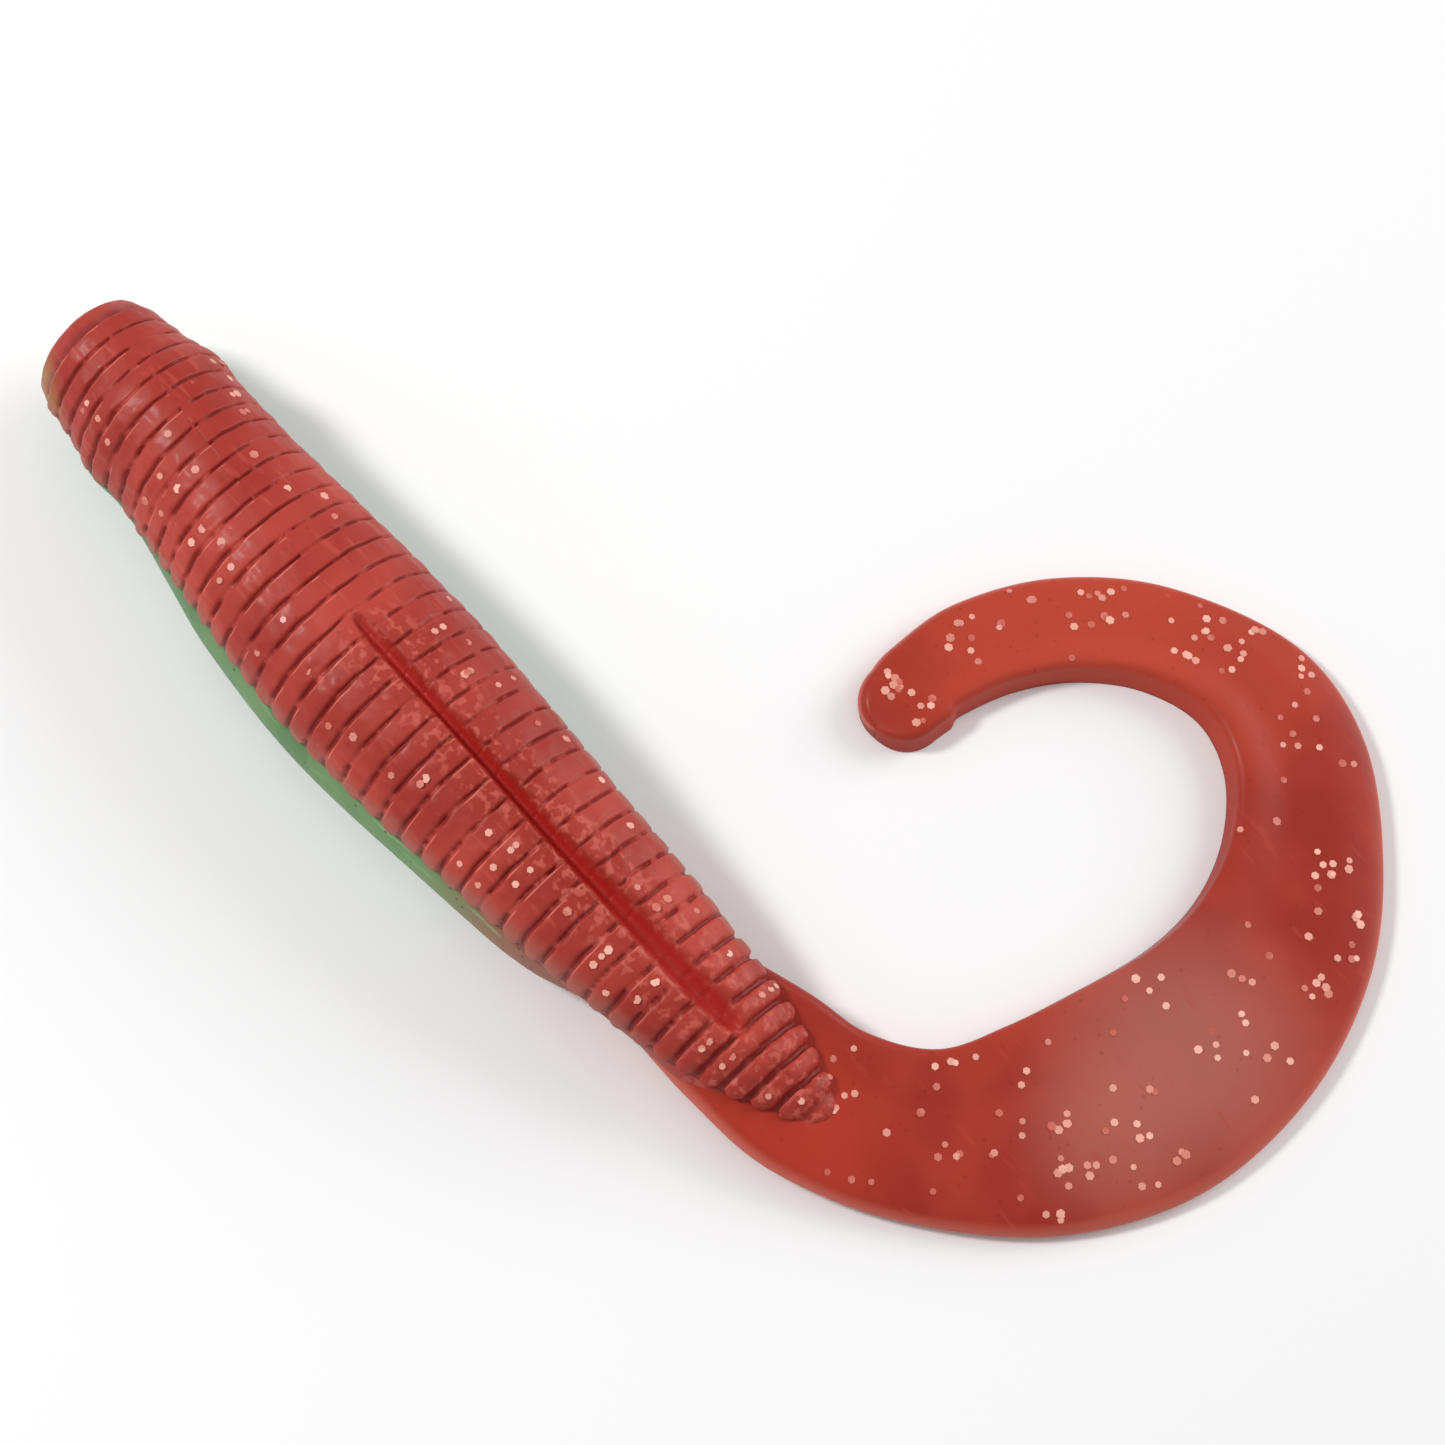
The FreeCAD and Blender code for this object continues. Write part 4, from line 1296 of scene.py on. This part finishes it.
# ---- putting it together ----
@dataclass
class Worm:
    """The whole worm: back, belly, tail and glitter."""

    back: RibbedBack
    belly: GreenBelly
    tail: TailRibbon
    glitter: Glitter
    front_seam: float = 33.0
    rear_seam: float = 58.0
    front_bend: tuple[Vector, Vector] = (Vector((-22.5, 0, 6)), Vector((-5.5, 0, 6)))
    rear_bend: tuple[Vector, Vector] = (Vector((4.5, 0, 5)), Vector((19.5, 0, 5)))
    stem_bend: tuple[Vector, Vector] = (Vector((27.0, 1.2, 2)), Vector((40.5, 1.2, 2)))
    links: tuple[str, ...] = ("root", "bend", "paddle", "crown", "hook", "crook", "tip")
    rows_per_link: int = 2
    root_rows: float = 3.0

    def bends(self) -> dict[str, Bend]:
        """Bends of the body, by stretch, each over one of the frame's joints."""
        return {
            "front": Bend("fore_body", "mid_body", *self.front_bend),
            "rear": Bend("mid_body", "rear_body", *self.rear_bend),
            "stem": Bend("rear_body", "tail_root_link", *self.stem_bend),
        }

    def build(self) -> None:
        """Builds every skin and flake and dresses them."""
        group = cast_group()
        red, tail_red, green = (finish.build(group) for finish in (RED_BACK, RED_TAIL, GREEN_BELLY))
        flake = FlakeFinish().build(group)
        bends = self.bends()
        front, rear = self.back.seam(self.front_seam), self.back.seam(self.rear_seam)
        end = self.back.seam(BELLY_END)
        upper, lower = (self.back, red, Pour.RED), (self.belly, green, Pour.GREEN)
        stretches = [("back_front", 0.0, front, "front", ("back_fore", "back_mid"), upper),
                     ("back_middle", front, rear, "rear", ("back_mid", "back_rear"), upper),
                     ("back_stem", rear, BACK_END, "stem", ("back_rear",), upper),
                     ("belly_front", 0.0, front, "front", ("belly_fore", "belly_mid"), lower),
                     ("belly_back", front, end, "rear", ("belly_mid", "belly_rear"), lower)]
        for name, start, stop, bend, nodes, (part, finish, pour) in stretches:
            piece = skin(name, part.rings(start, stop))
            dress(piece, finish, pour, nodes)
            bends[bend].over(piece)
        self.tail_skins(tail_red, bends["stem"])
        self.flakes(flake, bends, front)

    def tail_stretches(self, stem: Bend) -> list[tuple[str, float, float, Bend, str]]:
        """Name, start, end, bend and node of every skin of the tail."""
        stretches = [("ribbon_root", 0.0, self.root_rows, stem, "tail_root")]
        for k, (before, after) in enumerate(zip(self.links[:-1], self.links[1:])):
            start = self.root_rows + self.rows_per_link * k
            stop = start + self.rows_per_link if after != "tip" else self.tail.last + 1.0
            bend = self.tail.bend(int(start) + 1, start, min(stop, self.tail.last), f"tail_{before}_link",
                                  f"tail_{after}_link")
            stretches.append(("ribbon_" + after, start, stop, bend, "tail_" + after))
        return stretches

    def tail_skins(self, finish: bpy.types.Material, stem: Bend) -> None:
        """Builds the skins of the tail.

        Args:
            finish: Their material.
            stem: The bend at the root of the tail.
        """
        for name, start, stop, bend, node in self.tail_stretches(stem):
            piece = skin(name, self.tail.rings(start, stop))
            dress(piece, finish, Pour.RED, (node,))
            bend.over(piece)

    def back_spot(self, at: float, lift: float, side: float) -> tuple[Vector, Vector]:
        """Point and normal on the crest of a rib.

        Args:
            at: Station, moved to the middle of the nearest rib.
            lift: How far up the flank, from 0 at the parting line to 1 at the middle of the back.
            side: -1 or 1.

        Returns:
            The point and its normal.
        """
        back = self.back
        ribs = list(zip(back.grooves[:-1], back.grooves[1:]))
        front, rear = min(ribs, key=lambda rib: abs(0.5 * (rib[0] + rib[1]) - at))
        at = 0.5 * (front + rear)
        arch = back.arch(at)
        run = [0.0]
        for k in range(40):
            run.append(run[-1] + math.dist(arch(k / 40)[0], arch((k + 1) / 40)[0]))
        along = side * run[round(40 * lift)]
        (y, z), (ny, nz) = arch(round(40 * lift) / 40)
        rise = back.rise(at, 0.5, rear - front, along, run[-1], 2.0)
        point = Vector((at + NOSE_X, side * -(y + ny * rise) + back.body.bow.at(at), z + nz * rise))
        return point, Vector((0, side * -ny, nz))

    def flakes(self, finish: bpy.types.Material, bends: dict[str, Bend], front: float) -> None:
        """Scatters the glitter over the back and the tail.

        Args:
            finish: Its material.
            bends: Bends of the body, by stretch.
            front: Station of the first seam.
        """
        glitter = self.glitter
        chance = random.Random(glitter.seed)
        for name, start, stop, count, nodes in (("front", 3.0, front, 30, ("flakes_fore", "flakes_mid")),
                                                ("rear", front, 58.0, 34, ("flakes_mid", "flakes_rear")),
                                                ("stem", 58.0, 73.0, 16, ("flakes_rear",))):
            spots = []
            for _ in range(count):
                spot = self.back_spot(chance.uniform(start, stop), chance.uniform(*glitter.flanks),
                                      chance.choice((-1, 1)))
                spots.append((*spot, chance.random() ** glitter.dimming))
            piece = glitter.scatter("flakes_back_" + name, spots)
            dress(piece, finish, Pour.GLITTER, nodes)
            bends[name].over(piece)
        for name, start, stop, bend, node in self.tail_stretches(bends["stem"]):
            spots = []
            for cluster in glitter.clusters:
                for _ in range(cluster.count):
                    place = cluster.place + cluster.along * chance.uniform(-1, 1)
                    share = clamp(cluster.share + cluster.across * chance.uniform(-1, 1), *glitter.margins)
                    bright = clamp(chance.gauss(cluster.bright, glitter.spread))
                    if start <= place < stop:
                        spots.append((*self.tail.spot(min(place, 15.5), share), bright))
            low, high = glitter.dim_places
            for _ in range(glitter.dim_per_link):
                place = chance.uniform(max(start, low), min(stop, high))
                spots.append((*self.tail.spot(place, chance.uniform(*glitter.dim_margins)), 0.0))
            piece = glitter.scatter(name.replace("ribbon", "flakes_tail"), spots)
            dress(piece, finish, Pour.GLITTER, (node.replace("tail", "flakes"),))
            bend.over(piece)


def main() -> None:
    """Builds the scene in order: camera, worm, floor and lights."""
    logging.basicConfig(level=logging.INFO)
    studio = Studio()
    studio.camera()
    back = RibbedBack(Body(), Ribs(), HookSlot())
    Worm(back, GreenBelly(back), TailRibbon(), Glitter()).build()
    studio.floor()
    studio.lights()
    bpy.context.scene.view_settings.view_transform = "Standard"


if __name__ == "__main__":
    main()
